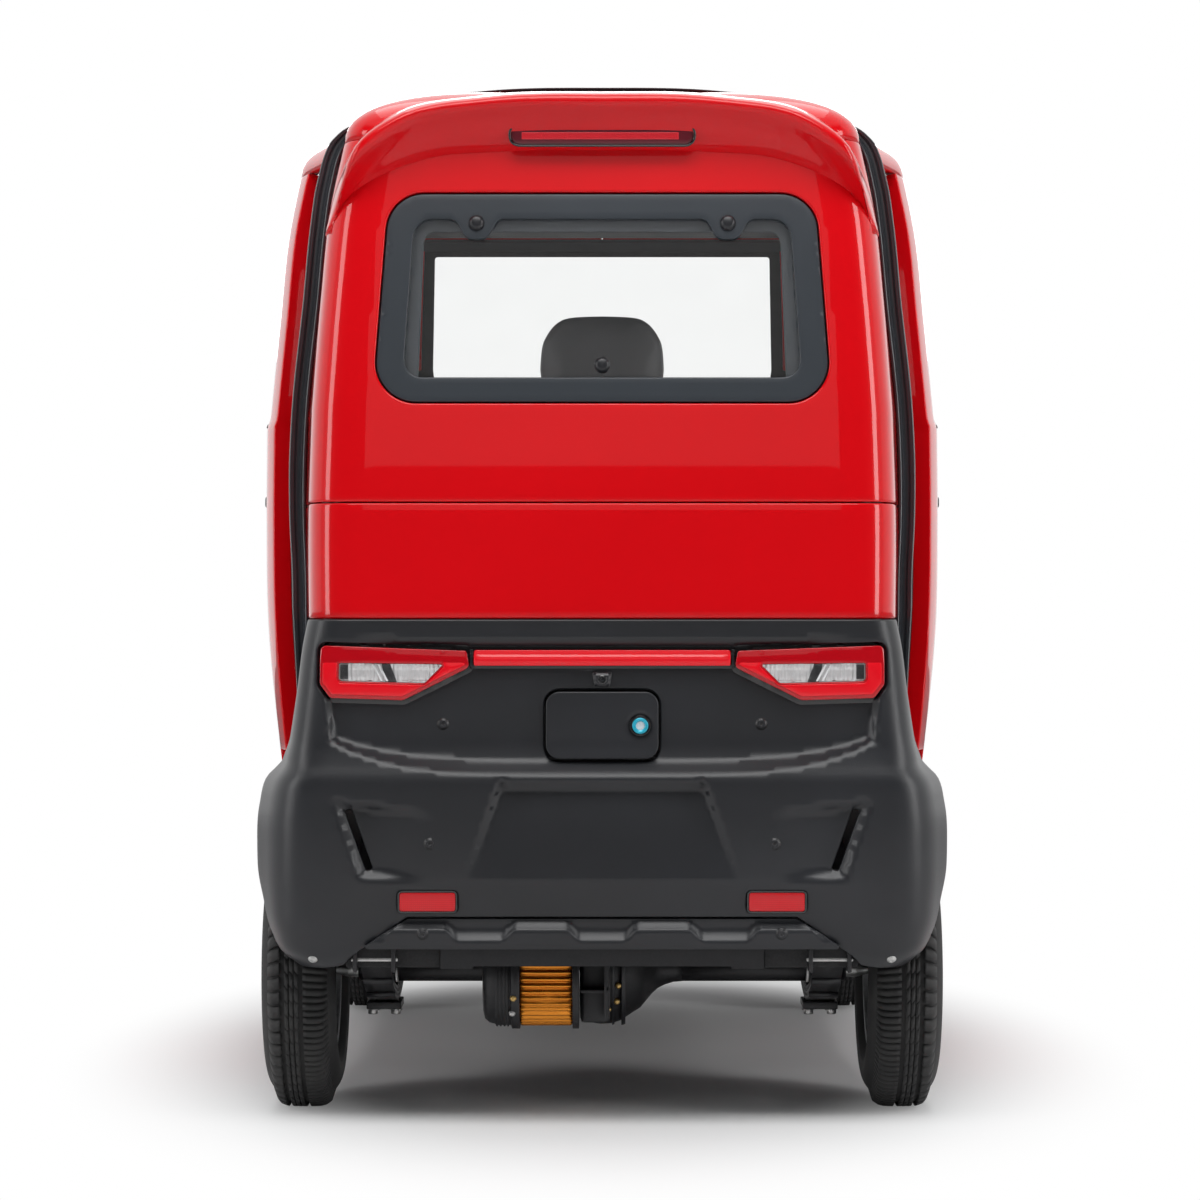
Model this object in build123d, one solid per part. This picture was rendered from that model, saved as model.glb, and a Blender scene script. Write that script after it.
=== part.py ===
from build123d import *
import os
from math import cos, pi, radians, sin, tan

os.makedirs("parts", exist_ok=True)

# A one-row, four-wheel electric cabin microcar. Millimetres, +Y forward, +X right, +Z up,
# origin on the floor in the middle of the vehicle's box.

# ---------------------------------------------------------------- driving sizes
WHEELBASE = 1500.0
REAR_AXLE_Y = -780.0
FRONT_AXLE_Y = REAR_AXLE_Y + WHEELBASE
HALF_TRACK = 479.0
TYRE_R = 221.5
TYRE_W = 118.0
ARCH_R = 250.0
WALL = 38.0
SKIN = 22.0
DOOR_GAP = 6.0
BELT_Z = 1118.0
SEAM_Z = 970.0
PANEL_BOTTOM_Z = 791.0
FENDER_TOP_Z = 566.0
RAIL_Y = -852.0
RAIL_HALF = 13.0
DOOR_REAR_Y = -500.0
DOOR_FRONT_Y = 400.0
DOOR_BOTTOM_Z = 335.0
DOOR_TOP_Z = 1528.0
ROOF_Z = 1535.0
HINGE_X, HINGE_Y = 564.5, 394.0
HINGE_LEVELS = [820.0, 1040.0]
HINGE_PIN_R = 3.5
POST_Y = 466.0
KINGPIN_X = 452.0
STEER_ARM = 55.0

# One row per level of the cabin: height, rear corner (half width, y), half width at the rail,
# half width at the door, y of the front pillar, nose corner (half width, y).
LOWER_HULL = [
    (290.0, 430.0, -1090.0, 455.0, 500.0, 480.0, 410.0, 1080.0),
    (430.0, 440.0, -1100.0, 463.0, 528.0, 480.0, 416.0, 1092.0),
    (560.0, 446.0, -1108.0, 469.0, 546.0, 480.0, 418.0, 1090.0),
    (780.0, 450.0, -1112.0, 471.0, 569.0, 480.0, 416.0, 992.0),
    (950.0, 450.0, -1112.0, 474.0, 572.0, 480.0, 408.0, 852.0),
    (BELT_Z, 445.0, -1106.0, 470.0, 571.0, 480.0, 398.0, 715.0),
]
UPPER_HULL = [
    (BELT_Z, 445.0, -1106.0, 470.0, 566.0, 480.0, 398.0, 715.0),
    (1290.0, 434.0, -1092.0, 452.0, 549.0, 410.0, 386.0, 590.0),
    (1440.0, 418.0, -1076.0, 437.0, 533.0, 320.0, 370.0, 478.0),
    (1540.0, 398.0, -1062.0, 414.0, 513.0, 255.0, 352.0, 400.0),
]
HULL_RADII = [75.0, 500.0, 400.0, 170.0, 90.0]
ROOF_RISE = 103.0
ROOF_TURNS = [20.0, 38.0, 54.0, 68.0, 79.0]
ROOF_POWER = 0.8
ROOF_CENTRES = [-700.0, -700.0, -330.0, -200.0, -200.0]


# ---------------------------------------------------------------- helpers
def box(x0, x1, y0, y1, z0, z1):
    """A block between two corners."""
    return Pos((x0 + x1) / 2, (y0 + y1) / 2, (z0 + z1) / 2) * Box(x1 - x0, y1 - y0, z1 - z0)


def rod_x(x0, x1, y, z, r):
    """A round bar along X."""
    return Pos((x0 + x1) / 2, y, z) * Rot(0, 90, 0) * Cylinder(r, abs(x1 - x0))


def rod(start, end, r):
    """A round bar between two points."""
    line = Vector(*end) - Vector(*start)
    plane = Plane(origin=start, z_dir=line)
    return extrude(plane * Circle(r), line.length)


def upright(x, y, level, half, r):
    """A vertical rod that reaches half its length above and below a level."""
    return rod((x, y, level - half), (x, y, level + half), r)


def rounded(points, radii):
    """A closed face round 3-D points in one plane, each corner an arc of its radius or as large as fits."""
    points = [Vector(*p) for p in points]
    count = len(points)
    radii = [radii] * count if isinstance(radii, (int, float)) else radii
    ends = []
    for i, corner in enumerate(points):
        if radii[i] == 0:
            ends.append((corner, None, corner))
            continue
        back = points[i - 1] - corner
        ahead = points[(i + 1) % count] - corner
        half_turn = radians(180 - back.get_angle(ahead)) / 2
        reach = min(radii[i] * tan(half_turn), 0.46 * min(back.length, ahead.length))
        start = corner + back.normalized() * reach
        end = corner + ahead.normalized() * reach
        radius = reach / tan(half_turn)
        bisector = (back.normalized() + ahead.normalized()).normalized()
        middle = corner + bisector * (radius / cos(half_turn) - radius)
        ends.append((start, middle, end))
    edges = []
    for i, (start, middle, end) in enumerate(ends):
        if middle is not None:
            edges.append(Edge.make_three_point_arc(start, middle, end))
        edges.append(Edge.make_line(end, ends[(i + 1) % count][0]))
    return Face(Wire(edges))


def prism_x(points, radii, x0, x1):
    """A rounded polygon given in (y, z), from x0 to x1."""
    return extrude(rounded([(x0, y, z) for y, z in points], radii), x1 - x0, dir=(1, 0, 0))


def prism_y(points, radii, y0, y1):
    """A rounded polygon given in (x, z), from y0 to y1."""
    return extrude(rounded([(x, y0, z) for x, z in points], radii), y1 - y0, dir=(0, 1, 0))


def mirrored(shape):
    """The same shape on the other side of the vehicle."""
    return mirror(shape, about=Plane.YZ)


def both(shape):
    """A shape and its mirror image, as separate solids."""
    return Compound([*shape.solids(), *mirrored(shape).solids()])


def write(name, shape):
    """Write one node and print its volume in litres."""
    pieces = shape.solids()
    body = pieces[0] if len(pieces) == 1 else Compound([*pieces])
    export_step(body, f"parts/{name}.step")
    print(f"{name:24s} {len(pieces)} solid(s) {sum(s.volume for s in pieces) / 1e6:8.3f} l")


# ---------------------------------------------------------------- cabin hull
REAR, RAIL, DOOR, PILLAR, NOSE = range(5)


def hull_corners(row, inset=0.0, turn=0.0):
    """The right-hand corners of the cabin's outline at one level, and the level.

    turn is how far the roof has curved over, in degrees: 0 on the walls, 90 on top.
    """
    z, rear_w, rear_y, rail_w, door_w, pillar_y, nose_w, nose_y = row
    rise = sin(radians(turn)) ** ROOF_POWER
    keep = cos(radians(turn)) ** ROOF_POWER
    corners = [
        (rear_w - inset, rear_y + inset),
        (rail_w - inset, RAIL_Y),
        (door_w - inset, DOOR_REAR_Y - 20),
        (door_w - inset, pillar_y - inset / 4),
        (nose_w - inset / 2, nose_y - inset),
    ]
    right = [(x * keep, mid + (y - mid) * keep) for (x, y), mid in zip(corners, ROOF_CENTRES)]
    return right, z + (ROOF_RISE - inset) * rise


def roof_form(inset, turns):
    """The closed dome of the roof from its edge up, drawn in by inset."""
    levels = []
    for turn in turns:
        right, level = hull_corners(UPPER_HULL[-1], inset, turn)
        keep = cos(radians(turn)) ** ROOF_POWER
        radii = [(r - inset) * keep for r in HULL_RADII]
        outline = right + [(-x, y) for x, y in reversed(right)]
        levels.append(rounded([(x, y, level) for x, y in outline], radii + radii[::-1]))
    return loft(levels)


def wall_x(row, y, inset):
    """Half width of the wall at y, between the rear corner and the front pillar."""
    right, _ = hull_corners(row, inset)
    stretch = right[REAR:PILLAR + 1]
    for (xa, ya), (xb, yb) in zip(stretch, stretch[1:]):
        if ya <= y <= yb:
            return xa + (xb - xa) * (y - ya) / (yb - ya)
    return right[PILLAR][0]


def wall(rows, path, outer, inner):
    """A stretch of wall lofted up through rows, between two insets.

    path gives, for a row and an inset, the corners of one side of the wall and their radii.
    """
    levels = []
    for row in rows:
        out, radii = path(row, outer)
        back, _ = path(row, inner)
        outline = [(x, y, row[0]) for x, y in out] + [(x, y, row[0]) for x, y in reversed(back)]
        tighter = [max(8.0, r - (inner - outer)) if r else 0 for r in radii]
        levels.append(rounded(outline, radii + tighter[::-1]))
    return loft(levels)


def rear_path(row, inset):
    """The back wall's line at one level, from rail to rail."""
    y = RAIL_Y - RAIL_HALF - 1
    end = wall_x(row, y, inset)
    corner = hull_corners(row, inset)[0][REAR]
    return [(end, y), corner, (-corner[0], corner[1]), (-end, y)], [0, HULL_RADII[REAR], HULL_RADII[REAR], 0]


def side_path(row, inset):
    """The lower side wall's line, from the rail to the front post."""
    y = RAIL_Y + RAIL_HALF + 1
    right, _ = hull_corners(row, inset)
    return [(wall_x(row, y, inset), y), right[DOOR], (right[PILLAR][0], POST_Y)], [0, HULL_RADII[DOOR], 0]


def upper_side_path(row, inset):
    """The upper side wall's line, from the rail to the middle of the windscreen."""
    y = RAIL_Y + RAIL_HALF + 1
    right, _ = hull_corners(row, inset)
    points = [(wall_x(row, y, inset), y), right[DOOR], right[PILLAR], right[NOSE], (0.5, right[NOSE][1])]
    return points, [0] + HULL_RADII[DOOR:] + [0]


def nose_path(row, inset):
    """The nose's line, from post to post."""
    right, _ = hull_corners(row, inset)
    half = [(right[PILLAR][0], POST_Y + 2), right[PILLAR], right[NOSE]]
    radii = [0] + HULL_RADII[PILLAR:]
    return half + [(-x, y) for x, y in reversed(half)], radii + radii[::-1]


def windscreen_path(row, inset):
    """The windscreen's line across the front."""
    x, y = hull_corners(row, inset)[0][NOSE]
    return [(x, y), (-x, y)], [0, 0]


# ---------------------------------------------------------------- panels of the cabin
def between(rows, z0, z1):
    """The hull's rows from z0 to z1, with rows worked out at both ends."""

    def at(z):
        for low, high in zip(rows, rows[1:]):
            if low[0] <= z <= high[0]:
                part = (z - low[0]) / (high[0] - low[0])
                return tuple(a + (b - a) * part for a, b in zip(low, high))
        return rows[-1]

    return [at(z0)] + [row for row in rows if z0 + 5 < row[0] < z1 - 5] + [at(z1)]


def door_outline(grow):
    """The door in side view, grown by the gap for its opening."""
    return [
        (DOOR_REAR_Y - grow, DOOR_BOTTOM_Z - grow),
        (DOOR_FRONT_Y + 1.5 * grow, DOOR_BOTTOM_Z - grow),
        (DOOR_FRONT_Y + 1.5 * grow, BELT_Z + 10),
        (275.0 + 1.5 * grow, 1440.0),
        (215.0 + 1.5 * grow, DOOR_TOP_Z + grow),
        (DOOR_REAR_Y - grow, DOOR_TOP_Z + grow),
    ]


DOOR_RADII = [60.0, 60.0, 300.0, 300.0, 50.0, 60.0]
WINDOW_OUTLINE = [(-440.0, 1168.0), (322.0, 1168.0), (235.0, 1420.0), (190.0, 1478.0), (-440.0, 1478.0)]
WINDOW_RADII = [45.0, 35.0, 200.0, 40.0, 55.0]
WINDSCREEN_OUTLINE = [(-378.0, 985.0), (378.0, 985.0), (350.0, 1522.0), (-350.0, 1522.0)]
WINDSCREEN_RADII = [55.0, 55.0, 32.0, 32.0]
REAR_WINDOW_OUTLINE = [(-352.0, 1125.0), (352.0, 1125.0), (328.0, 1448.0), (-328.0, 1448.0)]
REAR_WINDOW_RADII = [61.0, 61.0, 58.0, 58.0]
REAR_OPENING_OUTLINE = [(-307.0, 1163.0), (307.0, 1163.0), (290.0, 1409.0), (-290.0, 1409.0)]
REAR_OPENING_RADII = [28.0, 28.0, 42.0, 42.0]
REAR_WINDOW_GAP = 4.0
RIGHT_SIDE = (200.0, 700.0)


def grown(points, amount):
    """An outline with every side moved out by amount."""
    flat = [Vector(x, z, 0) for x, z in points]
    area = sum(a.X * b.Y - b.X * a.Y for a, b in zip(flat, flat[1:] + flat[:1]))
    turn = 1 if area > 0 else -1
    moved = []
    for i, corner in enumerate(flat):
        before = (corner - flat[i - 1]).normalized()
        after = (flat[(i + 1) % len(flat)] - corner).normalized()
        out_a = Vector(before.Y, -before.X, 0) * turn
        out_b = Vector(after.Y, -after.X, 0) * turn
        mitre = (out_a + out_b).normalized()
        moved.append(corner + mitre * (amount / mitre.dot(out_a)))
    return [(point.X, point.Y) for point in moved]


def side_wall():
    """The whole right wall, from the rail to the middle of the windscreen's head."""
    lower = wall(between(LOWER_HULL, 290, BELT_Z), side_path, 0, WALL)
    upper = wall(between(UPPER_HULL, BELT_Z, ROOF_Z - 1), upper_side_path, 0, WALL)
    return lower, upper


def side_door(lower, upper):
    """The right door, as thick as the whole wall, with its window cut out."""
    region = prism_x(door_outline(0.0), DOOR_RADII, *RIGHT_SIDE)
    door = (lower & region) + (upper & region)
    for level in HINGE_LEVELS:
        pocket = upright(HINGE_X, HINGE_Y, level, 12.0, 12.0)
        bore = upright(HINGE_X, HINGE_Y, level, 22.0, HINGE_PIN_R + 0.1)
        door -= pocket + bore
    return door - prism_x(WINDOW_OUTLINE, WINDOW_RADII, *RIGHT_SIDE)


def side_glass():
    """The pane of the right door."""
    pane = wall(between(UPPER_HULL, BELT_Z, ROOF_Z - 1), upper_side_path, 14, 19)
    return pane & prism_x(WINDOW_OUTLINE, WINDOW_RADII, *RIGHT_SIDE)


def side_frame(lower, upper):
    """The right body side: quarter, door posts, sill and roof edge, round the door opening."""
    opening = prism_x(door_outline(DOOR_GAP), DOOR_RADII, *RIGHT_SIDE)
    low = lower - box(0, 700, -1200, DOOR_REAR_Y - 15, 200, FENDER_TOP_Z + 2) - opening
    high = upper - opening - prism_y(WINDSCREEN_OUTLINE, WINDSCREEN_RADII, 330, 1200)
    frame = low + high
    for level in HINGE_LEVELS:
        frame += upright(HINGE_X, HINGE_Y, level, 20.0, HINGE_PIN_R)
        frame += box(HINGE_X - 4, HINGE_X + HINGE_PIN_R, HINGE_Y, HINGE_Y + 20, level - 9, level + 9)
    return frame


def rear_panel_upper():
    """The painted panel round the rear window."""
    low = wall(between(LOWER_HULL, SEAM_Z + 1, BELT_Z), rear_path, 0, WALL)
    high = wall(between(UPPER_HULL, BELT_Z, ROOF_Z - 1), rear_path, 0, WALL)
    window = prism_y(grown(REAR_WINDOW_OUTLINE, REAR_WINDOW_GAP), REAR_WINDOW_RADII, -1200, -1000)
    return low + high - window


def rear_panel_lower():
    """The painted panel under the seam."""
    return wall(between(LOWER_HULL, PANEL_BOTTOM_Z, SEAM_Z - 1), rear_path, 0, WALL)


def rear_window():
    """The rear window's frame and its pane."""
    rows = between(UPPER_HULL, BELT_Z, ROOF_Z - 1)
    outline = prism_y(REAR_WINDOW_OUTLINE, REAR_WINDOW_RADII, -1200, -1000)
    opening = prism_y(REAR_OPENING_OUTLINE, REAR_OPENING_RADII, -1200, -1000)
    frame = (wall(rows, rear_path, 3, 24) & outline) - opening
    pane = wall(rows, rear_path, 10, 15) & opening
    return frame, pane


def windscreen():
    """The flat windscreen."""
    low = wall(between(LOWER_HULL, 950, BELT_Z), windscreen_path, 14, 20)
    high = wall(between(UPPER_HULL, BELT_Z, ROOF_Z - 1), windscreen_path, 14, 20)
    return (low + high) & prism_y(WINDSCREEN_OUTLINE, WINDSCREEN_RADII, 300, 1200)


def nose_panel():
    """The painted nose, with openings for the windscreen and the headlamps."""
    nose = wall(between(LOWER_HULL, FENDER_TOP_Z - 2, BELT_Z - 0.5), nose_path, 0, WALL)
    nose -= prism_y(WINDSCREEN_OUTLINE, WINDSCREEN_RADII, 300, 1200)
    return nose - headlamp_region(2.0)


HEADLAMP_OUTLINE = [
    (232.0, 655.0), (330.0, 640.0), (388.0, 690.0),
    (392.0, 752.0), (330.0, 762.0), (240.0, 722.0),
]
HEADLAMP_RADIUS = 24.0


def headlamp_region(grow):
    """Both headlamp openings, cut through the nose from the front."""
    outline = grown(HEADLAMP_OUTLINE, grow)
    right = prism_y(outline, HEADLAMP_RADIUS, 700, 1200)
    return right + mirrored(right)


def headlamps():
    """The pair of headlamps, a little proud of the nose."""
    body = wall(between(LOWER_HULL, FENDER_TOP_Z + 40, BELT_Z - 100), nose_path, -3, 30)
    return body & headlamp_region(0.0)


VISOR_LIP = [
    (421.0, 1391.0), (398.0, 1466.0), (371.0, 1522.0),
    (308.0, 1566.0), (170.0, 1590.0), (0.0, 1595.0),
]
VISOR_ROOT = [
    (434.0, 1391.0), (419.0, 1475.0), (395.0, 1532.0),
    (348.0, 1582.0), (200.0, 1618.0), (0.0, 1625.0),
]
VISOR_LIP_Y = -1129.0
VISOR_ROOT_Y = -930.0
VISOR_LIP_THICK = 14.0
VISOR_ROOT_THICK = 200.0


def arch_band(points, y, thick):
    """A band under an arch, open at the bottom, as a face across the vehicle."""
    foot = points[0][1]
    arch = points + [(-x, z) for x, z in reversed(points[:-1])]
    under = [(x * (1 - thick / 430.0), z - thick * min(1.0, (z - foot) / 150.0)) for x, z in arch]
    top = Edge.make_spline([Vector(x, y, z) for x, z in arch])
    bottom = Edge.make_spline([Vector(x, y, z) for x, z in reversed(under)])
    left = Edge.make_line(top @ 1, bottom @ 0)
    right = Edge.make_line(bottom @ 1, top @ 0)
    return Face(Wire([top, left, bottom, right]))


def roof_panel():
    """The crowned roof with the visor that hoods the rear window."""
    outer = roof_form(0, [0.0] + ROOF_TURNS)
    hollow = loft([
        rounded([(x, y, ROOF_Z) for x, y in roof_ring(60.0, 1.0)], 60.0),
        rounded([(x, y, 1608.0) for x, y in roof_ring(60.0, 0.62)], 60.0),
    ], ruled=True)
    lip = arch_band(VISOR_LIP, VISOR_LIP_Y, VISOR_LIP_THICK)
    root = arch_band(VISOR_ROOT, VISOR_ROOT_Y, VISOR_ROOT_THICK)
    levels = []
    for row in UPPER_HULL[1:]:
        right, level = hull_corners(row)
        outline = right + [(-x, y) for x, y in reversed(right)]
        levels.append(rounded([(x, y, level) for x, y in outline], HULL_RADII + HULL_RADII[::-1]))
    visor = loft([lip, root]) - outer - loft(levels) - high_stop_lamp(0.4)
    visor = max(visor.solids(), key=lambda solid: solid.volume)
    return outer - hollow + visor


def roof_ring(inset, keep):
    """The roof's edge drawn in by inset and towards its ridge, as corners in plan."""
    right, _ = hull_corners(UPPER_HULL[-1], inset)
    ring = [(x * keep, mid + (y - mid) * keep) for (x, y), mid in zip(right, ROOF_CENTRES)]
    return ring + [(-x, y) for x, y in reversed(ring)]


RAIL_OUTER = [
    (484.0, 560.0), (493.0, 780.0), (500.0, 950.0), (498.0, 1125.0), (480.0, 1300.0), (468.0, 1412.0),
    (456.0, 1486.0), (440.0, 1542.0), (418.0, 1574.0), (364.0, 1594.0), (290.0, 1625.0), (184.0, 1638.0),
]
RAIL_OUTER_CROWN = (0.0, 1641.0)
RAIL_INNER_TOP = [(392.0, 1566.0), (350.0, 1588.0), (276.0, 1608.0), (184.0, 1620.0)]
RAIL_INNER_CROWN = (0.0, 1626.0)


def drip_rail():
    """The ribbed rail that hoops the body at the rear quarters and over the roof."""
    wall_line = [(row[3] + 0.5, row[0]) for row in LOWER_HULL[2:-1] + UPPER_HULL]

    def arch(right, crown):
        points = right + [crown] + [(-x, z) for x, z in reversed(right)]
        return Edge.make_spline([Vector(x, RAIL_Y - RAIL_HALF, z) for x, z in points])

    outer = arch(RAIL_OUTER, RAIL_OUTER_CROWN)
    inner = arch(wall_line + RAIL_INNER_TOP, RAIL_INNER_CROWN)
    feet = [Edge.make_line(outer @ 0, inner @ 0), Edge.make_line(outer @ 1, inner @ 1)]
    rail = extrude(Face(Wire([outer, inner, *feet])), 2 * RAIL_HALF, dir=(0, 1, 0))
    return rail & box(-700, 700, -1200, 0, FENDER_TOP_Z + 2, 1800)


# ---------------------------------------------------------------- rear moulding
# Rows: height, rear corner (half width, y), half width at the fender, half width at the front end.
FENDER_ROWS = [
    (250.0, 455.0, -1082.0, 482.0, 500.0),
    (272.0, 484.0, -1102.0, 508.0, 520.0),
    (305.0, 496.0, -1114.0, 528.0, 534.0),
    (360.0, 500.0, -1122.0, 540.0, 541.0),
    (430.0, 500.0, -1128.0, 545.0, 543.0),
    (500.0, 498.0, -1130.0, 541.0, 541.0),
    (545.0, 490.0, -1129.0, 527.0, 540.0),
    (FENDER_TOP_Z, 480.0, -1126.0, 508.0, 540.0),
]
TAIL_ROWS = [
    (FENDER_TOP_Z, 482.0, -1114.0, 498.0, 505.0),
    (621.0, 474.0, -1114.0, 489.0, 501.0),
    (682.0, 467.0, -1116.0, 480.0, 497.0),
    (751.0, 459.0, -1118.0, 471.0, 492.0),
    (PANEL_BOTTOM_Z - 1, 452.0, -1119.0, 462.0, 488.0),
]
FENDER_MID_Y = -960.0
FENDER_END_Y = -516.0
FENDER_RADII = [0, 190.0, 100.0]
TAIL_END_Y = RAIL_Y - RAIL_HALF - 1
LAMP_OUTLINE = [
    (207.0, 743.5), (434.0, 752.0), (434.5, 690.0),
    (418.0, 668.0), (305.0, 664.5), (202.0, 716.0),
]
LAMP_RADII = [6.0, 10.0, 12.0, 10.0, 14.0, 10.0]
BAR_HALF, BAR_LOW, BAR_HIGH = 197.0, 719.0, 743.0
LID_OUTLINE = [(-86.5, 578.0), (86.5, 578.0), (86.5, 679.0), (-86.5, 679.0)]
LID_RADIUS = 21.0
LID_OPENING_RADII = [12.0, LID_RADIUS, LID_RADIUS, 12.0]
LID_PIN_X, LID_PIN_Y, LID_PIN_Z, LID_PIN_R = -84.5, -1112.5, 628.5, 1.2
LOCK_X, LOCK_Z, LOCK_R = 58.5, 627.0, 16.0
SOCKET_X = -16.5
PLATE_OUTLINE = [
    (-211.0, 388.0), (211.0, 388.0), (215.0, 405.0),
    (166.0, 541.0), (-166.0, 541.0), (-215.0, 405.0),
]
PLATE_RADII = [10.0, 10.0, 14.0, 14.0, 14.0, 14.0]
PLATE_DEPTH = 12.0
PLATE_HOLE_X = 90.0
PLATE_HOLE_Z = 470.0
PLATE_HOLE_R = 3.0
VENT_OUTLINE = [(385.0, 500.0), (396.0, 498.0), (363.0, 403.0), (352.0, 405.0)]
REFLECTOR_OUTLINE = [(225.0, 342.0), (311.0, 342.0), (311.0, 371.0), (225.0, 371.0)]
INSERT_OUTLINE = [(-376.0, 280.0), (376.0, 280.0), (300.0, 327.0), (-300.0, 327.0)]


def fender_path(row, inset):
    """The fenders' line at one level, from the right arch round the back to the left."""
    _, rear_w, rear_y, side_w, end_w = row
    half = [(end_w - inset, FENDER_END_Y), (side_w - inset, FENDER_MID_Y), (rear_w - inset, rear_y + inset)]
    return half + [(-x, y) for x, y in reversed(half)], FENDER_RADII + FENDER_RADII[::-1]


def tail_path(row, inset):
    """The tail band's line at one level, from rail to rail."""
    _, rear_w, rear_y, side_w, end_w = row
    half = [(end_w - inset, TAIL_END_Y), (side_w - inset, FENDER_MID_Y), (rear_w - inset, rear_y + inset)]
    return half + [(-x, y) for x, y in reversed(half)], FENDER_RADII + FENDER_RADII[::-1]


def rear_region(outline, radii, grow=0.0):
    """An outline seen from behind, run through the rear skins."""
    return prism_y(grown(outline, grow), radii, -1200, -1000)


def pair(shape):
    """A shape and its mirror image joined for a cut."""
    return shape + mirrored(shape)


def fender_lid(rows, path, middle):
    """The closed top of the fenders, outboard of the cabin floor."""
    top = rows[-1]
    corners, radii = path(top, 1.0)
    face = rounded([(x, y, top[0]) for x, y in corners], radii)
    return extrude(face, 18.0, dir=(0, 0, -1)) - middle


def wheel_space(axle_y, radius, x0, x1):
    """The round spaces of one axle's arches."""
    return pair(rod_x(x0, x1, axle_y, TYRE_R, radius))


def rear_moulding():
    """The charcoal bumper with both fenders, its lamp pockets, recesses and slots."""
    moulding = wall(FENDER_ROWS, fender_path, 0, SKIN) + wall(TAIL_ROWS, tail_path, 0, SKIN)
    moulding += fender_lid(FENDER_ROWS, fender_path, box(-392, 392, -1100, 0, 200, 800))
    moulding -= wheel_space(REAR_AXLE_Y, ARCH_R, 392, 700)
    moulding -= pair(rear_region(LAMP_OUTLINE, LAMP_RADII, 2.5))
    moulding -= box(-BAR_HALF - 8, BAR_HALF + 8, -1200, -1000, BAR_LOW - 2, BAR_HIGH + 2)
    moulding -= rear_region(LID_OUTLINE, LID_OPENING_RADII, 3.0)
    moulding -= upright(LID_PIN_X, LID_PIN_Y, LID_PIN_Z, 57.0, LID_PIN_R + 0.1)
    moulding -= prism_y(PLATE_OUTLINE, PLATE_RADII, -1200, -1130 + PLATE_DEPTH)
    hole = rod((PLATE_HOLE_X, -1200, PLATE_HOLE_Z), (PLATE_HOLE_X, -1000, PLATE_HOLE_Z), PLATE_HOLE_R)
    moulding -= pair(hole)
    moulding -= pair(rear_region(VENT_OUTLINE, 3.0))
    moulding -= pair(rear_region(REFLECTOR_OUTLINE, 5.0, 2.0))
    insert_space = [(-388, 240), (388, 240), (388, 275), (303, 329), (-303, 329), (-388, 275)]
    moulding -= prism_y(insert_space, 0, -1200, -1000)
    return moulding


def tail_lamps():
    """Both lamp clusters and the light bar between them."""
    band = wall(TAIL_ROWS, tail_path, -2.5, 26)
    lamp = band & rear_region(LAMP_OUTLINE, LAMP_RADII)
    bar = band & box(-BAR_HALF, BAR_HALF, -1200, -1000, BAR_LOW, BAR_HIGH)
    return Compound([*lamp.solids(), *mirrored(lamp).solids(), *bar.solids()])


def rear_reflectors():
    """The pair of reflectors low in the bumper."""
    return wall(FENDER_ROWS, fender_path, -1, 12) & pair(rear_region(REFLECTOR_OUTLINE, 4.0))


def rear_insert():
    """The plain panel that closes the bumper's lower middle."""
    return wall(FENDER_ROWS, fender_path, 8, SKIN + 2) & rear_region(INSERT_OUTLINE, 6.0)


def charge_lid():
    """The flap over the charging socket, with its round lock barrel."""
    lid = wall(TAIL_ROWS, tail_path, 0, 9) & rear_region(LID_OUTLINE, LID_RADIUS)
    lid += upright(LID_PIN_X, LID_PIN_Y, LID_PIN_Z, 55.0, LID_PIN_R)
    return lid + rod((LOCK_X, -1117.0, LOCK_Z), (LOCK_X, -1090.0, LOCK_Z), LOCK_R)


def charge_port():
    """The socket well behind the flap."""
    well = box(-96.5, 96.5, -1089, -1040, 573, 689) - box(-88.5, 88.5, -1200, -1052, 577, 681)
    well -= rod((LOCK_X, -1200, LOCK_Z), (LOCK_X, -1060, LOCK_Z), LOCK_R + 6)
    shell = rod((SOCKET_X, -1052, LOCK_Z), (SOCKET_X, -1075, LOCK_Z), 32.0)
    socket = shell - rod((SOCKET_X, -1100, LOCK_Z), (SOCKET_X, -1062, LOCK_Z), 24.0)
    return well + socket


STOP_LAMP_OUTLINE = [(-142.0, 1520.0), (142.0, 1520.0), (142.0, 1551.0), (-142.0, 1551.0)]


def high_stop_lamp(grow=0.0):
    """The slot-shaped lamp let into the visor's underside."""
    return prism_y(grown(STOP_LAMP_OUTLINE, grow), 15.0, -1094 - grow, -1067 + grow)


# ---------------------------------------------------------------- front moulding
FRONT_ROWS = [
    (250.0, 430.0, 1070.0, 490.0, 500.0),
    (272.0, 442.0, 1090.0, 512.0, 518.0),
    (305.0, 452.0, 1106.0, 530.0, 532.0),
    (360.0, 460.0, 1120.0, 541.0, 541.0),
    (430.0, 464.0, 1128.0, 545.0, 543.0),
    (500.0, 462.0, 1130.0, 543.0, 541.0),
    (545.0, 452.0, 1124.0, 533.0, 540.0),
    (FENDER_TOP_Z - 4, 440.0, 1112.0, 518.0, 538.0),
]
FRONT_MID_Y = 930.0
# the towing socket sits just under the bumper's foot, so that an eye screws straight in
TOW_R = 8.0
TOW_WALL = 10.0
TOW_Z = FRONT_ROWS[0][0] - 2 * TOW_R
INTAKE_OUTLINE = [(-200.0, 345.0), (200.0, 345.0), (230.0, 425.0), (-230.0, 425.0)]


def front_path(row, inset):
    """The front moulding's line at one level, from the right arch round the nose to the left."""
    _, nose_w, nose_y, side_w, end_w = row
    half = [(end_w - inset, POST_Y + 2), (side_w - inset, FRONT_MID_Y), (nose_w - inset, nose_y - inset)]
    return half + [(-x, y) for x, y in reversed(half)], FENDER_RADII + FENDER_RADII[::-1]


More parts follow.
